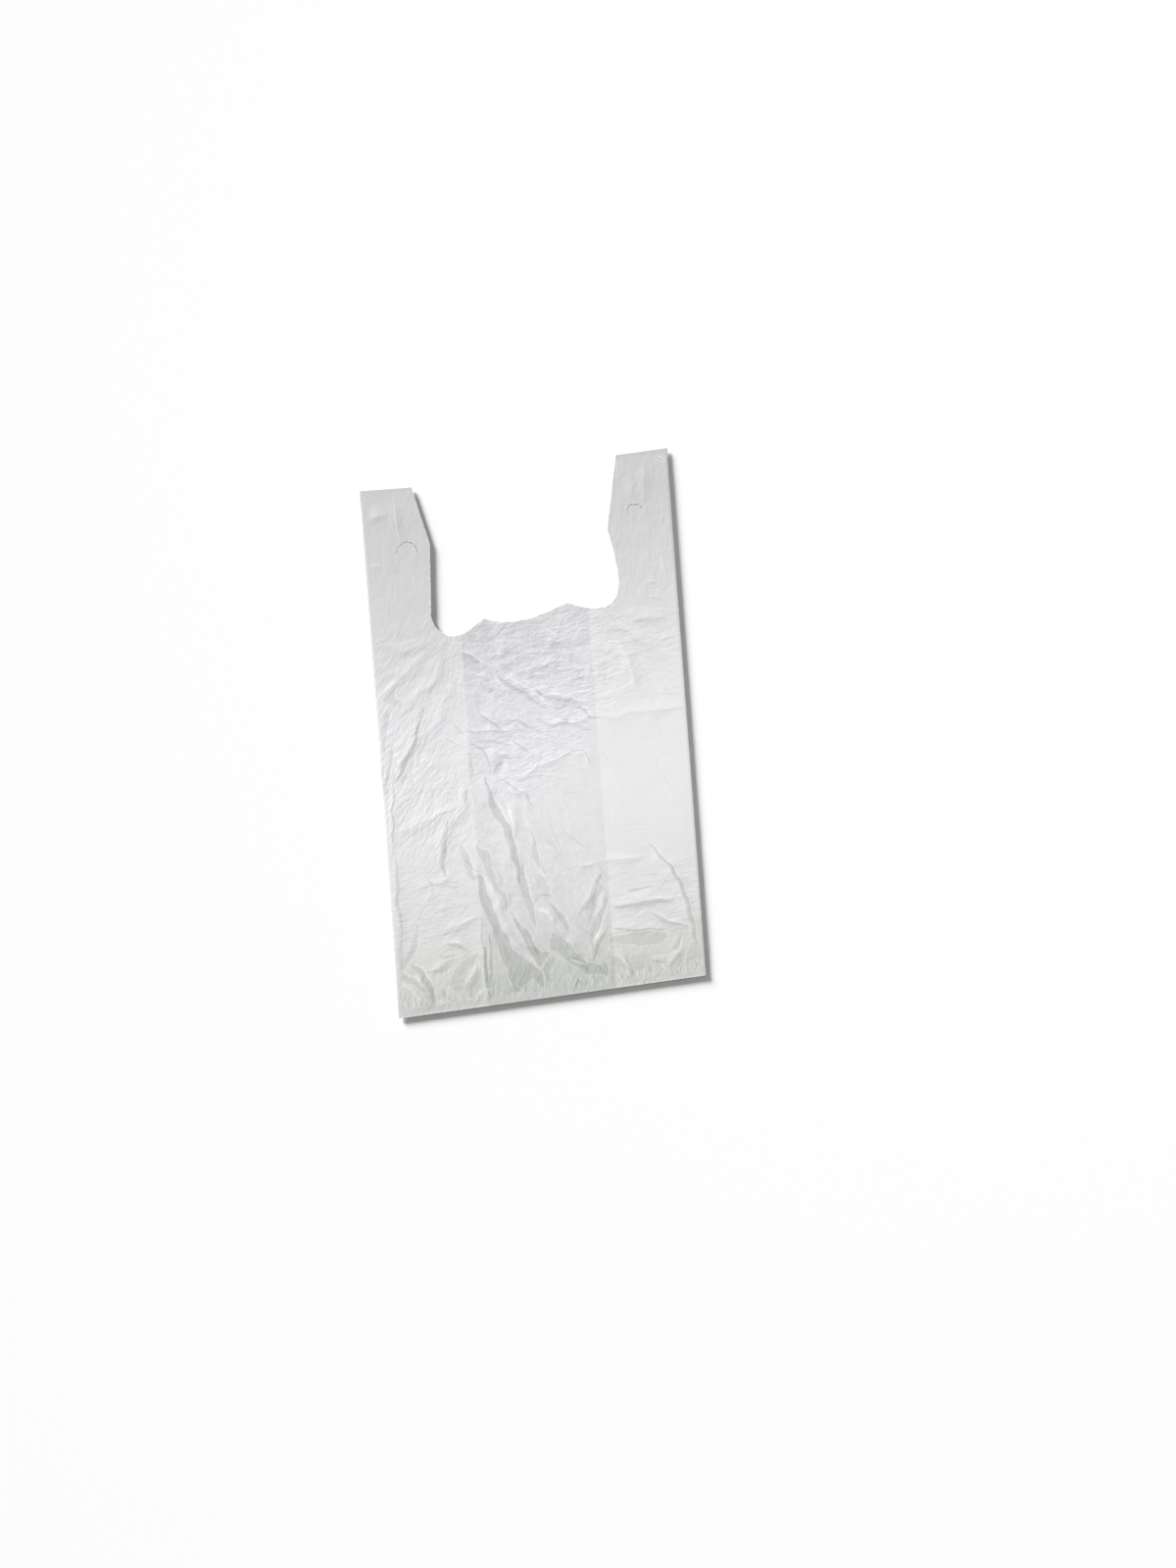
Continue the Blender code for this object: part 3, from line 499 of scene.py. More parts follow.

# The film's colour by millimetres up from the bag's middle, with painted light and shade along it: greenish
# and darker towards the bottom weld, lit nearly white in the middle, greyer on the handles. The centre's two
# layers keep a little less of it.
LEFT_TONES = ((-264, "#cccecc"), (264, "#c9c9ca"), (-190, "#dadada"), (-30, "#e3e3e5"), (90, "#d6d6d8"))
RIGHT_TONES = ((-264, "#c8cac7"), (264, "#c9c9ca"), (-190, "#d8d9d8"), (-30, "#e6e6e7"), (110, "#dadadc"))
CENTRE_TONES = ((-262, "#f3f4f3"), (120, "#fcfcfd"), (-140, "#fcfcfd"))

# Gathers above the bottom weld
GATHER_SPACING = 0.0070
GATHER_HEIGHT = 0.00026
GATHER_REACH = 0.010
GATHER_MARGIN = 0.005

# HDPE's sheen, kept low so that the low lamp doesn't wash the film out from the other side
FILM_ROUGHNESS = 0.58
FILM_IOR = 1.54
FILM_SHINE = 0.06

# A thin painted highlight on the right side fold and the bottom weld: how wide, how far out in widths it
# ends, and how much lighter it is
EDGE_WIDTH = 0.0014
EDGE_END = 1.5
EDGE_SHARE = 0.07

# Beside a gusset's inner fold the film looks lighter outside it and darker inside
STEP_WIDTH = 0.022
STEP_SHARE = 0.031

FOLD_BLUR = 0.0006  # half the width over which the tone changes at a gusset's inner fold
PANEL_BLEND = 0.08  # the left and the right tones blend into each other between these places

# Lamps
KEY_ELEVATION = 21
KEY_AZIMUTH = 128
KEY_SPREAD = 20
KEY_STRENGTH = 0.78 * math.pi / math.sin(math.radians(KEY_ELEVATION))
AMBIENT = 0.21
SOFTBOX_SIZE = 0.55
SOFTBOX_PLACE = (0.62, 0.42, 2.3)
SOFTBOX_WATTS = 3.5
AMBIENT_COLOUR = "#fffdfb"
FLOOR_GLOW = 0.035
FLOOR_COLOUR = "#f6f6f6"
FLOOR_REACH = 6.0
FLOOR_GAP = 0.0003  # keeps the floor clear of the back panel

# The camera looks straight down, and the bag leans in its picture
CAMERA_LENS, CAMERA_SENSOR = 85, 36  # both in millimetres
FRAME_HEIGHT = 1.543  # what the picture's height takes in at the floor
CAMERA_PLACE = (0.0504, -0.0537)
BAG_LEAN = 4.26


def linear(hex_colour):
    """The linear colour of an sRGB hex value, with alpha 1."""
    channels = [int(hex_colour[i : i + 2], 16) / 255 for i in (1, 3, 5)]
    turned = [c / 12.92 if c <= 0.04045 else ((c + 0.055) / 1.055) ** 2.4 for c in channels]
    return (*turned, 1.0)


def add_node(tree, kind, inputs=None, **settings):
    """Adds a node, sets its properties by name, and gives its first output.

    An input that is another node's output is linked, and a plain value is set on the socket.
    """
    node = tree.nodes.new(kind)
    for name, value in settings.items():
        setattr(node, name, value)
    for socket, value in (inputs or {}).items():
        if isinstance(value, bpy.types.NodeSocket):
            tree.links.new(value, node.inputs[socket])
        else:
            node.inputs[socket].default_value = value
    return node.outputs[0] if node.outputs else node


def fade(distance, width):
    """0 up to the edge, 1 from the given width on, with a smooth start and end."""
    share = np.clip(distance / width, 0.0, 1.0)
    return share * share * (3 - 2 * share)


def bottom_edge(x):
    return END_RISE * (x / (2 * SIDE) + 0.5) - BOX_HALF_LENGTH


def top_edge(x):
    """The top ends of the handles: the left one lies level, the right one slants with the bag."""
    left, right = BAG_LENGTH - BOX_HALF_LENGTH, BOX_HALF_LENGTH
    places = (-SIDE, -SIDE + LEFT_TOP_WIDTH, SIDE - RIGHT_TOP_WIDTH, SIDE)
    return np.interp(x, places, (left, left, right - RIGHT_TOP_RISE, right))


def evenly(start, end, spacing):
    return list(np.linspace(start, end, max(2, round(abs(end - start) / spacing) + 1)))


def half_circle(x, middle, towards):
    turns = [math.pi / 2 - math.pi * step / FOLD_SEGMENTS for step in range(1, FOLD_SEGMENTS)]
    rise = FOLD_RADIUS / LAYER_PITCH
    return [(x + towards * FOLD_RADIUS * math.cos(a), middle + rise * math.sin(a)) for a in turns]


def tube_section():
    """The flattened tube's closed section: (x, level), with level 0 on the back and 3 on the front."""
    outer = SIDE - FILM_THICKNESS / 2 - FOLD_RADIUS
    inner = INNER_FOLD + FOLD_RADIUS
    half = [(x, 3.0) for x in evenly(0.0, outer, FRONT_SPACING)]
    half += half_circle(outer, 2.5, 1)
    half += [(x, 2.0) for x in evenly(outer, inner, LEAF_SPACING)]
    half += half_circle(inner, 1.5, -1)
    half += [(x, 1.0) for x in evenly(inner, outer, LEAF_SPACING)]
    half += half_circle(outer, 0.5, 1)
    half += [(x, 0.0) for x in evenly(outer, 0.0, BACK_SPACING)]
    return half + [(-x, level) for x, level in reversed(half[1:-1])]


def smooth_noise(x, y, length, seed):
    """A soft random field between about -1 and 1, whose waves are about the given length."""
    rng = np.random.default_rng(RANDOM_SEED + seed)
    total = np.zeros_like(x)
    for _ in range(NOISE_WAVES):
        turn, phase, stretch = rng.uniform(0, math.tau), rng.uniform(0, math.tau), rng.uniform(0.6, 1.5)
        total += np.sin(math.tau * (x * math.cos(turn) + y * math.sin(turn)) / (length * stretch) + phase)
    return total / NOISE_PEAK


def nearest_squared(u, v, seed):
    """The squared distance to the nearest of the points scattered one to each unit cell."""
    table = np.random.default_rng(RANDOM_SEED + seed).random((POINT_CELLS, POINT_CELLS, 2))
    column, row = np.floor(u).astype(int), np.floor(v).astype(int)
    best = np.full(u.shape, 9.0)
    for i in (-1, 0, 1):
        for j in (-1, 0, 1):
            spot = table[(column + i) % POINT_CELLS, (row + j) % POINT_CELLS]
            du, dv = column + i + spot[..., 0] - u, row + j + spot[..., 1] - v
            best = np.minimum(best, du**2 + dv**2)
    return best


def facets(x, y, cell, turn, stretch, seed):
    """Crumpled film: flat facets that meet in sharp ridges and valleys, as height over cell size."""
    along = x * math.cos(turn) + y * math.sin(turn)
    across = y * math.cos(turn) - x * math.sin(turn)
    u, v = along / (cell * math.sqrt(stretch)), across * math.sqrt(stretch) / cell
    return nearest_squared(u, v, seed) - nearest_squared(u, v, seed + 1)


def crinkle(x, y):
    """(height of the facets, how strongly each place is crinkled in each of the four directions)."""
    total = np.full_like(x, 0.05)
    strength = np.zeros((4, *x.shape))
    for (cx, cy), (rx, ry), direction, strong in REGIONS:
        near = np.exp(-(((x / MM - cx) / rx) ** 2) - ((y / MM - cy) / ry) ** 2)
        total += near
        strength[direction] += near * strong
    strength /= total
    height = np.zeros_like(x)
    for direction in range(4):
        for cell, steep in FACET_SIZES:
            seed = 10 * direction + int(cell / MM)
            field = facets(x, y, cell, CREASE_TURN[direction], CREASE_STRETCH[direction], seed)
            height += strength[direction] * cell * steep * field
    return height, strength


def along_line(x, y, line):
    """(signed distance from a line, distance along it, where its points lie on it). Left is positive."""
    points = np.array(line, float)[:, :2] * MM
    lengths = np.linalg.norm(np.diff(points, axis=0), axis=1)
    starts = np.concatenate([[0], np.cumsum(lengths)])
    nearest, side, place = np.full(x.shape, 9.0), np.ones_like(x), np.zeros_like(x)
    for (x1, y1), (x2, y2), length, start in zip(points, points[1:], lengths, starts):
        dx, dy = (x2 - x1) / length, (y2 - y1) / length
        t = (x - x1) * dx + (y - y1) * dy
        on = np.clip(t, 0, length)
        away_x, away_y = x - x1 - on * dx, y - y1 - on * dy
        away = np.hypot(away_x, away_y)
        closer = away < nearest
        nearest = np.where(closer, away, nearest)
        side = np.where(closer, np.sign(dx * away_y - dy * away_x + 1e-12), side)
        place = np.where(closer, start + on, place)
    return nearest * side, place, starts


def inside_distance(x, y, outline):
    """How far inside an outline in millimetres each place lies, in metres. It is negative outside."""
    corners = np.array(outline, float) * MM
    odd, away = np.zeros(x.shape, bool), np.full(x.shape, 9.0)
    for (x1, y1), (x2, y2) in zip(corners, np.roll(corners, -1, axis=0)):
        dx, dy = x2 - x1, y2 - y1
        if y1 != y2:
            odd ^= ((y1 > y) != (y2 > y)) & (x < dx * (y - y1) / dy + x1)
        share = np.clip(((x - x1) * dx + (y - y1) * dy) / (dx**2 + dy**2), 0, 1)
        away = np.minimum(away, np.hypot(x - x1 - share * dx, y - y1 - share * dy))
    return np.where(odd, away, -away)


def keep_apart(fields, channels):
    """Packs (share from the left, share from the right, amount, reached) fields into few channels.

    The shares are 1 on a line and 0 at its two edges. Fields that meet go into different channels.
    """
    packed, used = None, None
    for left, right, amount, reached, wanted in fields:
        if packed is None:
            packed = np.full((channels, 3, *left.shape), -1.0)
            packed[:, 2] = 0
            used = np.zeros((channels, *left.shape), bool)
        meets = [np.count_nonzero(used[channel] & reached) for channel in range(channels)]
        channel = int(np.argmin(meets))
        if meets[channel] and not wanted:
            continue
        free = reached & ~used[channel]
        used[channel] |= reached
        for part, values in enumerate((left, right, amount)):
            packed[channel, part][free] = values[free]
    return packed


def fold_fields(x, y, folds):
    """The crests of the long folds, with their height in metres as the amount."""
    for height, left_width, right_width, line in folds:
        away, place, starts = along_line(x, y, line)
        left = 1 - away / (left_width * MM)
        right = 1 + away / (right_width * MM)
        taper = fade(np.minimum(place, starts[-1] - place) + CREST_HEAD, CREST_TAPER)
        yield left, right, height * MM * taper, np.minimum(left, right) > -FOLD_REACH, True


def strewn_streaks():
    """The finer creases as facets of painted shade and painted highlight, each a straight spindle that
    points away from its fan's point.
    """
    rng = np.random.default_rng(RANDOM_SEED + 40)
    for count, (cx, cy), (rx, ry), (fan_x, fan_y), (shortest, longest), percent in STREAKS:
        for _ in range(count):
            x, y = cx + rx * rng.uniform(-1, 1), cy + ry * rng.uniform(-1, 1)
            turn = math.atan2(y - fan_y, x - fan_x) + rng.normal(0, FAN_SPREAD)
            half = rng.uniform(shortest, longest) / 2
            width = rng.uniform(*STREAK_WIDTH)
            dx, dy = half * math.cos(turn), half * math.sin(turn)
            sign = 1 if rng.random() < LIGHT_STREAK_SHARE else -1
            line = ((x - dx, y - dy, TIP_WIDTH), (x, y, width), (x + dx, y + dy, TIP_WIDTH))
            yield sign * percent * rng.uniform(*STREAK_AMOUNT), line
    for _ in range(PUCKER_COUNT):
        x = SIDE / MM * rng.uniform(-0.97, 0.97)
        length, width = rng.uniform(*PUCKER_LENGTH), rng.uniform(*PUCKER_WIDTH)
        foot = (bottom_edge(x * MM) + WELD_WIDTH) / MM + rng.uniform(0, 5)
        lean = rng.normal(0, PUCKER_LEAN) * length
        sign = 1 if rng.random() < LIGHT_PUCKER_SHARE else -1
        middle = (x + 0.4 * lean, foot + 0.4 * length, width)
        line = ((x, foot, 0.5), middle, (x + lean, foot + length, TIP_WIDTH))
        yield sign * PUCKER_PERCENT * rng.uniform(*PUCKER_AMOUNT), line


def tone_share(percent):
    return percent / 100 * (DARK_CONTRAST if percent < 0 else LIGHT_CONTRAST)


def painted_facet_fields(x, y):
    """The facets of painted shade and painted highlight, with how much lighter they are painted as the
    amount. The listed ones come first.
    """
    for percent, outline in BROAD_FACETS:
        depth = inside_distance(x, y, outline)
        amount = np.full_like(x, tone_share(percent))
        yield depth / BROAD_EDGE, depth / BROAD_EDGE, amount, depth > -FACET_MARGIN, True
    placed = MIDDLE_FACETS + LEFT_FACETS + RIGHT_FACETS + HANDLE_FACETS
    for number, (percent, line) in enumerate(placed + tuple(strewn_streaks())):
        away, place, starts = along_line(x, y, line)
        width = np.interp(place, starts, [w * MM for _, _, w in line])
        beyond = np.abs(away) - width
        taper = fade(np.minimum(place, starts[-1] - place) + SPINDLE_HEAD, SPINDLE_TAPER)
        reached = beyond < FACET_MARGIN
        yield 1 - away / width, 1 + away / width, tone_share(percent) * taper, reached, number < len(placed)


class FoldNet:
    """Crumpled film as a net of flat triangles between ridge, foot and scattered points."""

    def __init__(self):
        self.points = []

    def add(self, x, y, height, gap):
        """Adds a point unless another one is nearer than the gap."""
        if self.points:
            known = np.array(self.points)
            if np.hypot(known[:, 0] - x, known[:, 1] - y).min() < gap:
                return
        self.points.append((x, y, height))

    def add_fold(self, height, line, offset, step, gap, rng):
        """Points along a fold's line, or along its foot at a sideways offset."""
        points = np.array(line, float) * MM
        lengths = np.linalg.norm(np.diff(points, axis=0), axis=1)
        total = lengths.sum()
        count = max(2, round(total / step))
        for share in (np.arange(count + 1)) / count:
            place = share * total
            k = min(int(np.searchsorted(np.cumsum(lengths), place)), len(lengths) - 1)
            t = (place - lengths[:k].sum()) / lengths[k]
            x, y = points[k] + t * (points[k + 1] - points[k])
            dx, dy = (points[k + 1] - points[k]) / lengths[k]
            taper = float(fade(min(place, total - place) + 1 * MM, min(FOLD_TAPER, 0.5 * total)))
            away = offset * (0.35 + 0.65 * taper) * rng.uniform(0.85, 1.15)
            self.add(x - dy * away, y + dx * away, height * MM * taper * rng.uniform(0.94, 1.04), gap)

    def heights(self, x, y):
        """The net's height at each place."""
        flat = [Vector((px, py)) for px, py, _ in self.points]
        corners, _, triangles, origins, _, _ = delaunay_2d_cdt(flat, [], [], 0, 1e-7)
        raised = [(c.x, c.y, self.points[o[0]][2] if o else 0.0) for c, o in zip(corners, origins)]
        tree = BVHTree.FromPolygons(raised, triangles)
        down = Vector((0, 0, -1))
        found = np.zeros_like(x)
        for number, (px, py) in enumerate(zip(x, y)):
            hit = tree.ray_cast(Vector((px, py, 1.0)), down)[0]
            if hit is not None:
                found[number] = hit.z
        return found


def crumple_net(folds):
    """The net of the whole front panel: the long folds first, then rows of crumple between them."""
    rng = np.random.default_rng(RANDOM_SEED + 900)
    net = FoldNet()
    for x in np.arange(-0.2, 0.21, 0.04):
        for y in (-0.32, 0.32):
            net.add(x, y, 0.0, 0.0)
    for y in np.arange(-0.3, 0.31, 0.03):
        for x in (-0.2, 0.2):
            net.add(x, y, 0.0, 0.0)
    for height, left, right, line in folds:
        net.add_fold(height, line, 0.0, NET_STEP, POINT_GAP, rng)
    for height, left, right, line in folds:
        net.add_fold(0.0, line, left * MM, FOOT_STEP, POINT_GAP, rng)
        net.add_fold(0.0, line, -right * MM, FOOT_STEP, POINT_GAP, rng)
    for number, ((cx, cy), (rx, ry), direction, strong) in enumerate(REGIONS):
        turn = CREASE_TURN[direction]
        reach = 1.3 * max(rx, ry) * MM
        rows, columns = int(reach / CRUMPLE_ACROSS), int(reach / CRUMPLE_ALONG)
        for row in range(-rows, rows + 1):
            for column in range(-columns, columns + 1):
                along = (column + 0.5 * (row % 2) + rng.uniform(-0.4, 0.4)) * CRUMPLE_ALONG
                across = (row + rng.uniform(-0.35, 0.35)) * CRUMPLE_ACROSS
                x = cx * MM + along * math.cos(turn) - across * math.sin(turn)
                y = cy * MM + along * math.sin(turn) + across * math.cos(turn)
                up = (1 if row % 2 else -1) * rng.uniform(0.1, 1.0) * CRUMPLE_HEIGHT[direction] * strong
                others = [
                    ((x / MM - ox) / sx) ** 2 + ((y / MM - oy) / sy) ** 2
                    for (ox, oy), (sx, sy), _, _ in REGIONS
                ]
                if min(others) == others[number]:
                    net.add(x, y, up, 0.8 * CRUMPLE_ACROSS)
    return net


def gathers(x, y):
    """Short upright pleats where the bottom weld has drawn the film together."""
    rng = np.random.default_rng(RANDOM_SEED + 500)
    above = y - bottom_edge(x) - WELD_WIDTH
    total = np.zeros_like(x)
    place = -SIDE + 0.008
    while place < SIDE - 0.006:
        lean, reach = rng.normal(0, 0.22), GATHER_REACH * rng.uniform(0.45, 1.5)
        height, width = GATHER_HEIGHT * rng.uniform(0.25, 1.0), GATHER_SPACING * rng.uniform(0.3, 0.55)
        ridge = np.clip(1 - np.abs(x - place - lean * above) / width, 0, 1)
        total += height * ridge * fade(above, 0.003) * (1 - fade(above - 0.3 * reach, reach))
        place += GATHER_SPACING * rng.uniform(0.5, 1.5)
    return total


def film_heights(x, y):
    """(height of the back, height of the front, crinkling by direction, crests, facets of painted shade and
    highlight).
    """
    wx = x + BEND_REACH * smooth_noise(x, y, BEND_LENGTH, 1)
    wy = y + BEND_REACH * smooth_noise(x, y, BEND_LENGTH, 2)
    facet, strength = crinkle(wx, wy)
    folds = MIDDLE_FOLDS + LEFT_FOLDS + RIGHT_FOLDS + HANDLE_FOLDS
    crests = keep_apart(fold_fields(wx, wy, folds), FOLD_CHANNELS)
    tones = keep_apart(painted_facet_fields(x + TONE_BEND * (wx - x), y + TONE_BEND * (wy - y)), FACET_CHANNELS)
    relief = facet + crumple_net(folds).heights(wx, wy) + SLACK_HEIGHT * smooth_noise(x, y, SLACK_LENGTH, 3)
    from_bottom, from_top = y - bottom_edge(x), top_edge(x) - y
    from_end = np.minimum(from_bottom, from_top)
    from_side = SIDE - np.abs(x)
    calm = fade(from_side, CALM_MARGIN) * fade(from_end - WELD_WIDTH, END_MARGIN)
    opened = fade(from_end - WELD_WIDTH, CURL_LENGTH)
    stack = WELD_HEIGHT + (STACK_HEIGHT - WELD_HEIGHT) * opened
    curl = END_LIFT * (1 - opened)
    sink = CENTRE_SINK * (1 - fade(np.abs(x) - (INNER_FOLD - CENTRE_SINK_WIDTH), CENTRE_SINK_WIDTH))
    lift = relief * calm + gathers(x, y) * fade(from_side, GATHER_MARGIN)
    back = FILM_THICKNESS / 2 + curl + BACK_SHARE * np.maximum(lift, 0) * calm
    front = FILM_THICKNESS / 2 + curl + stack - sink * calm + lift
    lowest = back + 0.5 * stack
    return back, np.maximum(front, lowest), strength, crests, tones


def die_curve():
    """The die's edge as a smooth curve object through its few points."""
    curve = bpy.data.curves.new("mouth_die", "CURVE")
    curve.dimensions = "2D"
    curve.fill_mode = "BOTH"
    curve.extrude = CUTTER_REACH
    curve.resolution_u = OUTLINE_STEPS
    spline = curve.splines.new("BEZIER")
    spline.bezier_points.add(len(DIE_OUTLINE) - 1)
    spline.use_cyclic_u = True
    for point, (x, y, corner) in zip(spline.bezier_points, DIE_OUTLINE):
        point.co = (x * MM, y * MM, 0)
        kind = "VECTOR" if corner else "AUTO"
        point.handle_left_type = kind
        point.handle_right_type = kind
    guide = bpy.data.objects.new("mouth_die_curve", curve)
    bpy.context.scene.collection.objects.link(guide)
    bpy.context.view_layer.update()
    return guide


def mouth_die():
    """The blade that cuts the mouth and the handles' inner edges through every layer."""
    guide = die_curve()
    mesh = bpy.data.meshes.new_from_object(guide.evaluated_get(bpy.context.evaluated_depsgraph_get()))
    bpy.data.objects.remove(guide, do_unlink=True)
    bm = bmesh.new()
    bm.from_mesh(mesh)
    bmesh.ops.remove_doubles(bm, verts=bm.verts, dist=1e-6)
    bmesh.ops.recalc_face_normals(bm, faces=bm.faces)
    bm.to_mesh(mesh)
    bm.free()
    die = bpy.data.objects.new("mouth_die", mesh)
    bpy.context.scene.collection.objects.link(die)
    return die


def well_inside_mouth(x, y):
    """Whether each place lies in the mouth, clear of its edge."""
    return inside_distance(x, y, [(px, py) for px, py, _ in DIE_OUTLINE]) > MOUTH_MARGIN


def flat_tube():
    """The tube laid flat: x across, y as a share of the length, and z as the layer's level."""
    bm = bmesh.new()
    ring = [bm.verts.new((x, 0, level)) for x, level in tube_section()]
    edges = [bm.edges.new(pair) for pair in zip(ring, ring[1:] + ring[:1])]
    grown = bmesh.ops.extrude_edge_only(bm, edges=edges)["geom"]
    far = [g for g in grown if isinstance(g, bmesh.types.BMVert)]
    bmesh.ops.translate(bm, verts=far, vec=(0, 1, 0))
    lengthwise = [e for e in bm.edges if abs(e.verts[0].co.y - e.verts[1].co.y) > 0.5]
    bmesh.ops.subdivide_edges(bm, edges=lengthwise, cuts=round(BAG_LENGTH / ROW_SPACING) - 1)
    bmesh.ops.recalc_face_normals(bm, faces=bm.faces)
    return bm


def lay_out(bm):
    """Gives the flat tube its slanted ends, and leaves out the film well inside the mouth."""
    for vert in bm.verts:
        low, high = bottom_edge(vert.co.x), float(top_edge(vert.co.x))
        vert.co.y = low + vert.co.y * (high - low)
    centres = np.array([face.calc_center_median()[:2] for face in bm.faces])
    gone = well_inside_mouth(centres[:, 0], centres[:, 1])
    bm.faces.ensure_lookup_table()
    bmesh.ops.delete(bm, geom=[bm.faces[i] for i in np.flatnonzero(gone)], context="FACES")


def slit_blade(number, top_x, top_y, half_width, depth):
    """The blade of a hanging slit: the upper half of an oval, as a thin wall through every layer."""
    bm = bmesh.new()
    arc = []
    for step in range(SLIT_SEGMENTS + 1):
        turn = math.pi * step / SLIT_SEGMENTS
        x = (top_x - half_width * math.cos(turn)) * MM
        y = (top_y - depth * (1 - math.sin(turn))) * MM
        arc.append(bm.verts.new((x, y, -CUTTER_REACH)))
    edges = [bm.edges.new(pair) for pair in zip(arc, arc[1:])]
    grown = bmesh.ops.extrude_edge_only(bm, edges=edges)["geom"]
    far = [g for g in grown if isinstance(g, bmesh.types.BMVert)]
    bmesh.ops.translate(bm, verts=far, vec=(0, 0, 2 * CUTTER_REACH))
    bmesh.ops.recalc_face_normals(bm, faces=bm.faces)
    mesh = bpy.data.meshes.new(f"slit_blade_{number}")
    bm.to_mesh(mesh)
    bm.free()
    blade = bpy.data.objects.new(f"slit_blade_{number}", mesh)
    bpy.context.scene.collection.objects.link(blade)
    wall = blade.modifiers.new("wall", "SOLIDIFY")
    wall.thickness = SLIT_WIDTH
    wall.offset = 0.0
    return blade


def film_body():
    """The bag: one gusseted tube of film, die-cut, creased and given its wall."""
    bm = flat_tube()
    lay_out(bm)
    mesh = bpy.data.meshes.new("film_body")
    bm.to_mesh(mesh)
    bm.free()

    places = np.empty(len(mesh.vertices) * 3, np.float32)
    mesh.vertices.foreach_get("co", places)
    x, y, level = places.reshape(-1, 3).astype(float).T
    back, front, strength, crests, tones = film_heights(x, y)
    z = back + (front - back) * level / 3
    mesh.vertices.foreach_set("co", np.stack([x, y, z], axis=-1).astype(np.float32).ravel())
    crinkling = mesh.attributes.new("crinkling", "FLOAT_COLOR", "POINT")
    crinkling.data.foreach_set("color", strength.T.astype(np.float32).ravel())
    # The facet channels carry painted shade and painted highlights for the film's colour.
    for kind, channels in (("crest", crests), ("facet", tones)):
        for channel, field in enumerate(channels):
            layer = mesh.attributes.new(f"{kind}_{channel}", "FLOAT_VECTOR", "POINT")
            layer.data.foreach_set("vector", field.T.astype(np.float32).ravel())
    mesh.shade_smooth()
    mesh.update()

    film = bpy.data.objects.new("film_body", mesh)
    bpy.context.scene.collection.objects.link(film)
    wall = film.modifiers.new("wall", "SOLIDIFY")
    wall.thickness = FILM_THICKNESS
    wall.offset = 0.0
    return film


def clamped(tree, value):
    """The value kept between 0 and 1."""
    raised = add_node(tree, "ShaderNodeMath", {0: value, 1: 0.0}, operation="MAXIMUM")
    return add_node(tree, "ShaderNodeMath", {0: raised, 1: 1.0}, operation="MINIMUM")


def fine_facets(tree, place, cell, stretch, turn, offset):
    """(height, tone from -1 to 1) of crumpled facets, where cells round two sets of points meet."""
    squared, tones = [], []
    for shift in (offset, offset + SECOND_SET_SHIFT):
        turning = {
            "Vector": place,
            "Location": (shift, SIDEWAYS_SHIFT * shift, 0),
            "Rotation": (0, 0, turn),
            "Scale": (cell * math.sqrt(stretch), cell / math.sqrt(stretch), 1),
        }
        turned = add_node(tree, "ShaderNodeMapping", turning, vector_type="TEXTURE")
        cells = {"Vector": turned, "Scale": 1.0}
        distance = add_node(tree, "ShaderNodeTexVoronoi", cells, voronoi_dimensions="2D")
        squared.append(add_node(tree, "ShaderNodeMath", {0: distance, 1: 2.0}, operation="POWER"))
        tones.append(add_node(tree, "ShaderNodeSeparateColor", {"Color": distance.node.outputs["Color"]}))
    height = add_node(tree, "ShaderNodeMath", dict(enumerate(squared)), operation="SUBTRACT")
    return height, add_node(tree, "ShaderNodeMath", dict(enumerate(tones)), operation="SUBTRACT")


def crinkles(tree, place):
    """(height in metres, tone) of the film's fine crinkles."""
    noise = {"Vector": place, "Scale": 1 / WANDER_LENGTH, "Detail": 1.0}
    wander = add_node(tree, "ShaderNodeTexNoise", noise).node
    reach = {0: wander.outputs["Color"], 1: (WANDER_REACH, WANDER_REACH, 0.0), 2: place}
    warped = add_node(tree, "ShaderNodeVectorMath", reach, operation="MULTIPLY_ADD")
    crinkling = add_node(tree, "ShaderNodeAttribute", attribute_name="crinkling").node
    colour = add_node(tree, "ShaderNodeSeparateColor", {"Color": crinkling.outputs["Color"]}).node
    total_height, total_tone = 0.0, 1.0
    for direction, strong in enumerate((*colour.outputs, crinkling.outputs["Alpha"])):
        stretch, turn = CREASE_STRETCH[direction], CREASE_TURN[direction]
        for number, (cell, steep, contrast) in enumerate(FINE_FACET_SIZES):
            offset = DIRECTION_SHIFT * direction + SIZE_SHIFT * number
            height, tone = fine_facets(tree, warped, cell, stretch, turn, offset)
            sized = add_node(tree, "ShaderNodeMath", {0: height, 1: cell * steep}, operation="MULTIPLY")
            sized = add_node(tree, "ShaderNodeMath", {0: sized, 1: strong}, operation="MULTIPLY")
            total_height = add_node(tree, "ShaderNodeMath", {0: sized, 1: total_height}, operation="ADD")
            shaded = add_node(tree, "ShaderNodeMath", {0: tone, 1: contrast}, operation="MULTIPLY")
            shaded = add_node(tree, "ShaderNodeMath", {0: shaded, 1: strong}, operation="MULTIPLY")
            total_tone = add_node(tree, "ShaderNodeMath", {0: shaded, 1: total_tone}, operation="ADD")
    return total_height, total_tone


def read_shares(tree, attribute):
    """(share from the left, share from the right, amount) of one channel that the mesh carries."""
    carried = add_node(tree, "ShaderNodeAttribute", attribute_name=attribute).node
    return add_node(tree, "ShaderNodeSeparateXYZ", {"Vector": carried.outputs["Vector"]}).node.outputs


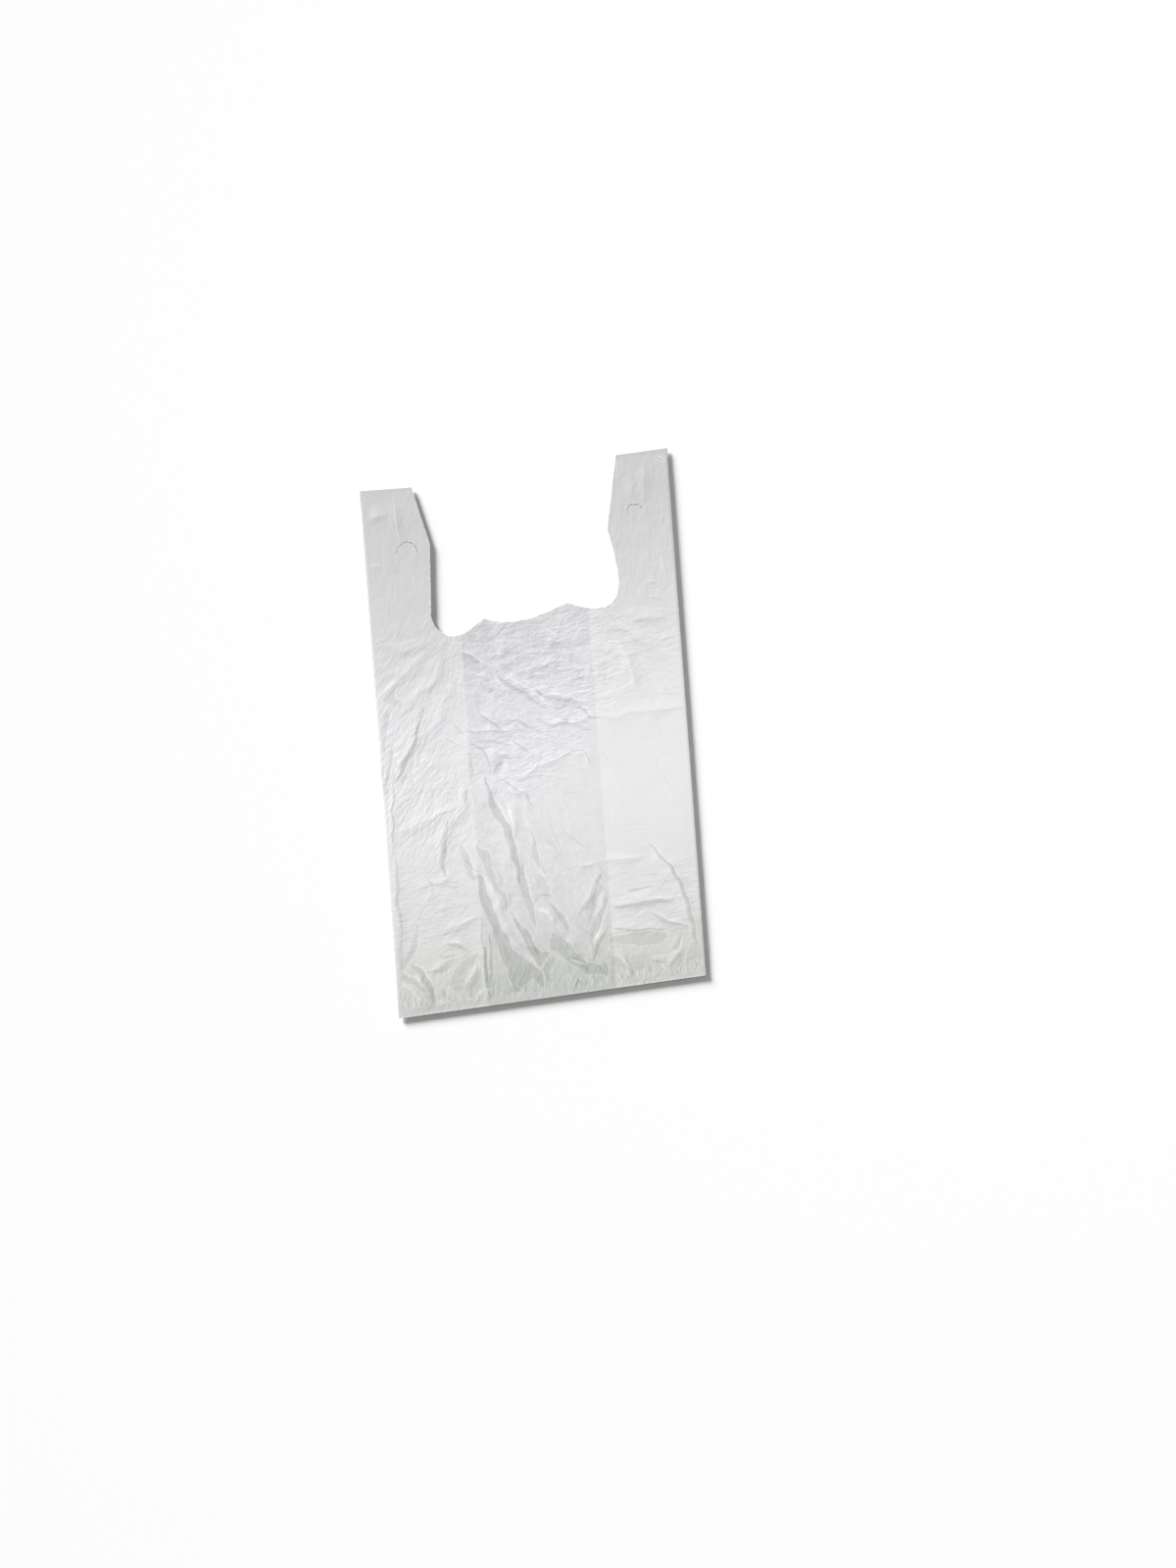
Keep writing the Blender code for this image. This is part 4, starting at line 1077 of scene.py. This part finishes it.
def crest_height(tree):
    """The sharp crests of the film's long folds, as a height in metres."""
    total = 0.0
    for channel in range(FOLD_CHANNELS):
        left, right, amount = read_shares(tree, f"crest_{channel}")
        tip = add_node(tree, "ShaderNodeMath", {0: left, 1: right}, operation="MINIMUM")
        tip = add_node(tree, "ShaderNodeMath", {0: tip, 1: CREST_START}, operation="SUBTRACT")
        tip = add_node(tree, "ShaderNodeMath", {0: tip, 1: 0.0}, operation="MAXIMUM")
        raised = add_node(tree, "ShaderNodeMath", {0: tip, 1: CREST_SHARE}, operation="MULTIPLY")
        raised = add_node(tree, "ShaderNodeMath", {0: raised, 1: amount}, operation="MULTIPLY")
        total = add_node(tree, "ShaderNodeMath", {0: raised, 1: total}, operation="ADD")
    return total


def painted_facet_shade(tree):
    """How much darker or lighter the facets' painted shade and painted highlights make the film, as a share.

    A facet has a crisp edge with a thin painted highlight outside it, and a soft edge on its other side.
    """
    total = 0.0
    for channel in range(FACET_CHANNELS):
        left, right, amount = read_shares(tree, f"facet_{channel}")
        crisp = add_node(tree, "ShaderNodeMath", {0: left, 1: 1 / CRISP_EDGE}, operation="MULTIPLY")
        soft = add_node(tree, "ShaderNodeMath", {0: right, 1: 1 / SOFT_EDGE}, operation="MULTIPLY")
        inside = clamped(tree, add_node(tree, "ShaderNodeMath", {0: crisp, 1: soft}, operation="MINIMUM"))
        # A thin painted highlight just outside the crisp edge
        from_rim = add_node(tree, "ShaderNodeMath", {0: left, 1: RIM_PLACE}, operation="ADD")
        from_rim = add_node(tree, "ShaderNodeMath", {0: from_rim}, operation="ABSOLUTE")
        from_rim = add_node(tree, "ShaderNodeMath", {0: from_rim, 1: RIM_PLACE}, operation="DIVIDE")
        rim = clamped(tree, add_node(tree, "ShaderNodeMath", {0: 1.0, 1: from_rim}, operation="SUBTRACT"))
        rim = add_node(tree, "ShaderNodeMath", {0: rim, 1: RIM_SHARE}, operation="MULTIPLY")
        shape = add_node(tree, "ShaderNodeMath", {0: inside, 1: rim}, operation="SUBTRACT")
        toned = add_node(tree, "ShaderNodeMath", {0: shape, 1: amount}, operation="MULTIPLY")
        total = add_node(tree, "ShaderNodeMath", {0: toned, 1: total}, operation="ADD")
    return total


def ramp_along(tree, value, stops):
    """A smooth tone along the bag from (millimetres up from its middle, colour) stops."""
    ends = {"Value": value, "From Min": -BOX_HALF_LENGTH, "From Max": BOX_HALF_LENGTH}
    colour = add_node(tree, "ShaderNodeValToRGB", {"Fac": add_node(tree, "ShaderNodeMapRange", ends)})
    ramp = colour.node.color_ramp
    ramp.interpolation = "CARDINAL"
    for number, (y, tone) in enumerate(stops):
        position = (y * MM / BOX_HALF_LENGTH + 1) / 2
        element = ramp.elements[number] if number < 2 else ramp.elements.new(position)
        element.position = position
        element.color = linear(tone)
    return colour


def painted_edge_highlight(tree, across, along):
    """How much lighter the painted highlight makes the film along the right side fold and the bottom weld,
    as a share.
    """
    rise = add_node(tree, "ShaderNodeMath", {0: across, 1: END_RISE / (2 * SIDE)}, operation="MULTIPLY")
    foot = add_node(tree, "ShaderNodeMath", {0: rise, 1: bottom_edge(0.0)}, operation="ADD")
    from_bottom = add_node(tree, "ShaderNodeMath", {0: along, 1: foot}, operation="SUBTRACT")
    from_side = add_node(tree, "ShaderNodeMath", {0: SIDE, 1: across}, operation="SUBTRACT")
    widths = add_node(tree, "ShaderNodeMath", {0: from_bottom, 1: from_side}, operation="MINIMUM")
    widths = add_node(tree, "ShaderNodeMath", {0: widths, 1: EDGE_WIDTH}, operation="DIVIDE")
    near = clamped(tree, add_node(tree, "ShaderNodeMath", {0: EDGE_END, 1: widths}, operation="SUBTRACT"))
    return add_node(tree, "ShaderNodeMath", {0: near, 1: EDGE_SHARE}, operation="MULTIPLY")


def step_tone(tree, from_middle, doubled):
    """How much lighter the film looks just outside a gusset's inner fold, and darker inside, as a share."""
    away = add_node(tree, "ShaderNodeMath", {0: from_middle, 1: INNER_FOLD}, operation="SUBTRACT")
    away = add_node(tree, "ShaderNodeMath", {0: away}, operation="ABSOLUTE")
    away = add_node(tree, "ShaderNodeMath", {0: away, 1: STEP_WIDTH}, operation="DIVIDE")
    near = clamped(tree, add_node(tree, "ShaderNodeMath", {0: 1.0, 1: away}, operation="SUBTRACT"))
    side = add_node(tree, "ShaderNodeMath", {0: doubled, 1: 2.0}, operation="MULTIPLY")
    side = add_node(tree, "ShaderNodeMath", {0: side, 1: 1.0}, operation="SUBTRACT")
    signed = add_node(tree, "ShaderNodeMath", {0: near, 1: side}, operation="MULTIPLY")
    return add_node(tree, "ShaderNodeMath", {0: signed, 1: STEP_SHARE}, operation="MULTIPLY")


def film_colour_and_painted_light(tree, across, along, from_middle, doubled):
    """The film's colour with its broad tones, painted shade and painted highlights, before the fine
    crinkles.
    """
    sides = {"Value": across, "From Min": -PANEL_BLEND, "From Max": PANEL_BLEND}
    panels = {
        "Factor": add_node(tree, "ShaderNodeMapRange", sides),
        6: ramp_along(tree, along, LEFT_TONES),
        7: ramp_along(tree, along, RIGHT_TONES),
    }
    four_layers = add_node(tree, "ShaderNodeMix", panels, data_type="RGBA").node.outputs[2]
    thinned = {"Factor": 1.0, 6: four_layers, 7: ramp_along(tree, along, CENTRE_TONES)}
    two_layers = add_node(tree, "ShaderNodeMix", thinned, data_type="RGBA", blend_type="MULTIPLY").node
    layers = {"Factor": doubled, 6: two_layers.outputs[2], 7: four_layers}
    colour = add_node(tree, "ShaderNodeMix", layers, data_type="RGBA").node.outputs[2]

    # Painted shade and highlights of the facets, and the painted highlight along the edges
    edges = {0: painted_facet_shade(tree), 1: painted_edge_highlight(tree, across, along)}
    lighter = add_node(tree, "ShaderNodeMath", edges, operation="ADD")
    steps = {0: lighter, 1: step_tone(tree, from_middle, doubled)}
    lighter = add_node(tree, "ShaderNodeMath", steps, operation="ADD")
    tint = add_node(tree, "ShaderNodeVectorMath", {0: FACET_TINT, "Scale": lighter}, operation="SCALE")
    share = add_node(tree, "ShaderNodeVectorMath", {0: tint, 1: (1.0, 1.0, 1.0)}, operation="ADD")
    return add_node(tree, "ShaderNodeVectorMath", {0: colour, 1: share}, operation="MULTIPLY")


def film_material():
    """Blown HDPE film: milky, with a faint sheen, whiter where the gussets double it, and with painted shade
    and highlights in its colour.
    """
    material = bpy.data.materials.new("blown_hdpe_film")
    material.use_nodes = True
    tree = material.node_tree
    tree.nodes.clear()
    place = add_node(tree, "ShaderNodeTexCoord").node.outputs["Object"]
    across, along, _ = add_node(tree, "ShaderNodeSeparateXYZ", {"Vector": place}).node.outputs
    from_middle = add_node(tree, "ShaderNodeMath", {0: across}, operation="ABSOLUTE")
    fold = {"Value": from_middle, "From Min": INNER_FOLD - FOLD_BLUR, "From Max": INNER_FOLD + FOLD_BLUR}
    doubled = add_node(tree, "ShaderNodeMapRange", fold)
    broad = film_colour_and_painted_light(tree, across, along, from_middle, doubled)
    fine_height, fine_tone = crinkles(tree, place)
    toned = add_node(tree, "ShaderNodeVectorMath", {0: broad, "Scale": fine_tone}, operation="SCALE")
    height = add_node(tree, "ShaderNodeMath", {0: fine_height, 1: crest_height(tree)}, operation="ADD")
    finish = {
        "Base Color": toned,
        "Normal": add_node(tree, "ShaderNodeBump", {"Height": height, "Strength": 1.0, "Distance": 1.0}),
        "Roughness": FILM_ROUGHNESS,
        "IOR": FILM_IOR,
        "Specular IOR Level": FILM_SHINE,
    }
    shader = add_node(tree, "ShaderNodeBsdfPrincipled", finish)
    add_node(tree, "ShaderNodeOutputMaterial", {"Surface": shader})
    return material


def seen_by_the_eye(tree):
    """1 for rays from the camera and those that a mirror or a clear piece passes on, and 0 for light."""
    path = add_node(tree, "ShaderNodeLightPath").node.outputs
    seen = {0: path["Is Camera Ray"], 1: path["Is Glossy Ray"]}
    seen = {0: add_node(tree, "ShaderNodeMath", seen, operation="MAXIMUM"), 1: path["Is Transmission Ray"]}
    return add_node(tree, "ShaderNodeMath", seen, operation="MAXIMUM")


def floor_material():
    """Matt white painted board: a plain white studio floor that keeps the bag's soft shadow."""
    material = bpy.data.materials.new("matt_white_board")
    material.use_nodes = True
    tree = material.node_tree
    tree.nodes.clear()
    glow = {0: seen_by_the_eye(tree), 1: FLOOR_GLOW}
    glow = add_node(tree, "ShaderNodeMath", glow, operation="MULTIPLY")
    matt = add_node(tree, "ShaderNodeBsdfDiffuse", {"Color": linear(FLOOR_COLOUR)})
    both = {0: matt, 1: add_node(tree, "ShaderNodeEmission", {"Strength": glow})}
    add_node(tree, "ShaderNodeOutputMaterial", {"Surface": add_node(tree, "ShaderNodeAddShader", both)})
    return material


def add_floor():
    bm = bmesh.new()
    bmesh.ops.create_grid(bm, x_segments=1, y_segments=1, size=FLOOR_REACH)
    bmesh.ops.translate(bm, verts=bm.verts, vec=(0, 0, -FLOOR_GAP))
    mesh = bpy.data.meshes.new("floor")
    bm.to_mesh(mesh)
    bm.free()
    mesh.materials.append(floor_material())
    floor = bpy.data.objects.new("floor", mesh)
    bpy.context.scene.collection.objects.link(floor)


def add_world():
    world = bpy.data.worlds.new("studio")
    bpy.context.scene.world = world
    world.use_nodes = True
    tree = world.node_tree
    tree.nodes.clear()
    strength = {"Value": seen_by_the_eye(tree), "To Min": AMBIENT, "To Max": 1.0}
    light = {"Color": linear(AMBIENT_COLOUR), "Strength": add_node(tree, "ShaderNodeMapRange", strength)}
    add_node(tree, "ShaderNodeOutputWorld", {"Surface": add_node(tree, "ShaderNodeBackground", light)})


def add_sun(name, strength, spread, elevation, azimuth):
    """A soft distant lamp. The azimuth is where its light comes from, turned from +X towards +Y."""
    lamp = bpy.data.lights.new(name, "SUN")
    lamp.energy = strength
    lamp.angle = math.radians(spread)
    obj = bpy.data.objects.new(name, lamp)
    bpy.context.scene.collection.objects.link(obj)
    obj.rotation_euler = (0, math.radians(90 - elevation), math.radians(azimuth))


def add_softbox(name, watts, size, place):
    """A square lamp that faces the bag's middle and lights the creases softly from above."""
    lamp = bpy.data.lights.new(name, "AREA")
    lamp.shape = "SQUARE"
    lamp.size = size
    lamp.energy = watts
    obj = bpy.data.objects.new(name, lamp)
    bpy.context.scene.collection.objects.link(obj)
    obj.location = place
    obj.rotation_euler = (-Vector(place)).to_track_quat("-Z", "Y").to_euler()


def add_camera():
    """Looking straight down, as the photograph does, turned a little so that the bag leans."""
    camera = bpy.data.cameras.new("camera")
    camera.lens = CAMERA_LENS
    camera.sensor_width = CAMERA_SENSOR
    camera.clip_end = 50
    obj = bpy.data.objects.new("camera", camera)
    bpy.context.scene.collection.objects.link(obj)
    obj.location = (*CAMERA_PLACE, FRAME_HEIGHT * CAMERA_LENS / CAMERA_SENSOR)
    obj.rotation_euler = (0, 0, math.radians(-BAG_LEAN))
    bpy.context.scene.camera = obj


def cut(film, blades):
    """Cuts the mouth and the slits, and keeps the result as the film's mesh."""
    for blade in blades:
        step = film.modifiers.new(blade.name, "BOOLEAN")
        step.operation = "DIFFERENCE"
        step.solver = "EXACT"
        step.object = blade
    bpy.context.view_layer.update()
    graph = bpy.context.evaluated_depsgraph_get()
    mesh = bpy.data.meshes.new_from_object(film.evaluated_get(graph), depsgraph=graph)
    film.modifiers.clear()
    film.data = mesh
    mesh.set_sharp_from_angle(angle=math.radians(SHARP_ANGLE))
    for blade in blades:
        bpy.data.objects.remove(blade, do_unlink=True)


add_camera()
add_world()
add_floor()
add_sun("key", KEY_STRENGTH, KEY_SPREAD, KEY_ELEVATION, KEY_AZIMUTH)
add_softbox("softbox", SOFTBOX_WATTS, SOFTBOX_SIZE, SOFTBOX_PLACE)

film = film_body()
cut(film, [mouth_die()] + [slit_blade(number, *sizes) for number, sizes in enumerate(SLITS)])
film.data.materials.append(film_material())
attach(film, "root")
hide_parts("carrier_bag")

bpy.context.scene.view_settings.view_transform = "Standard"
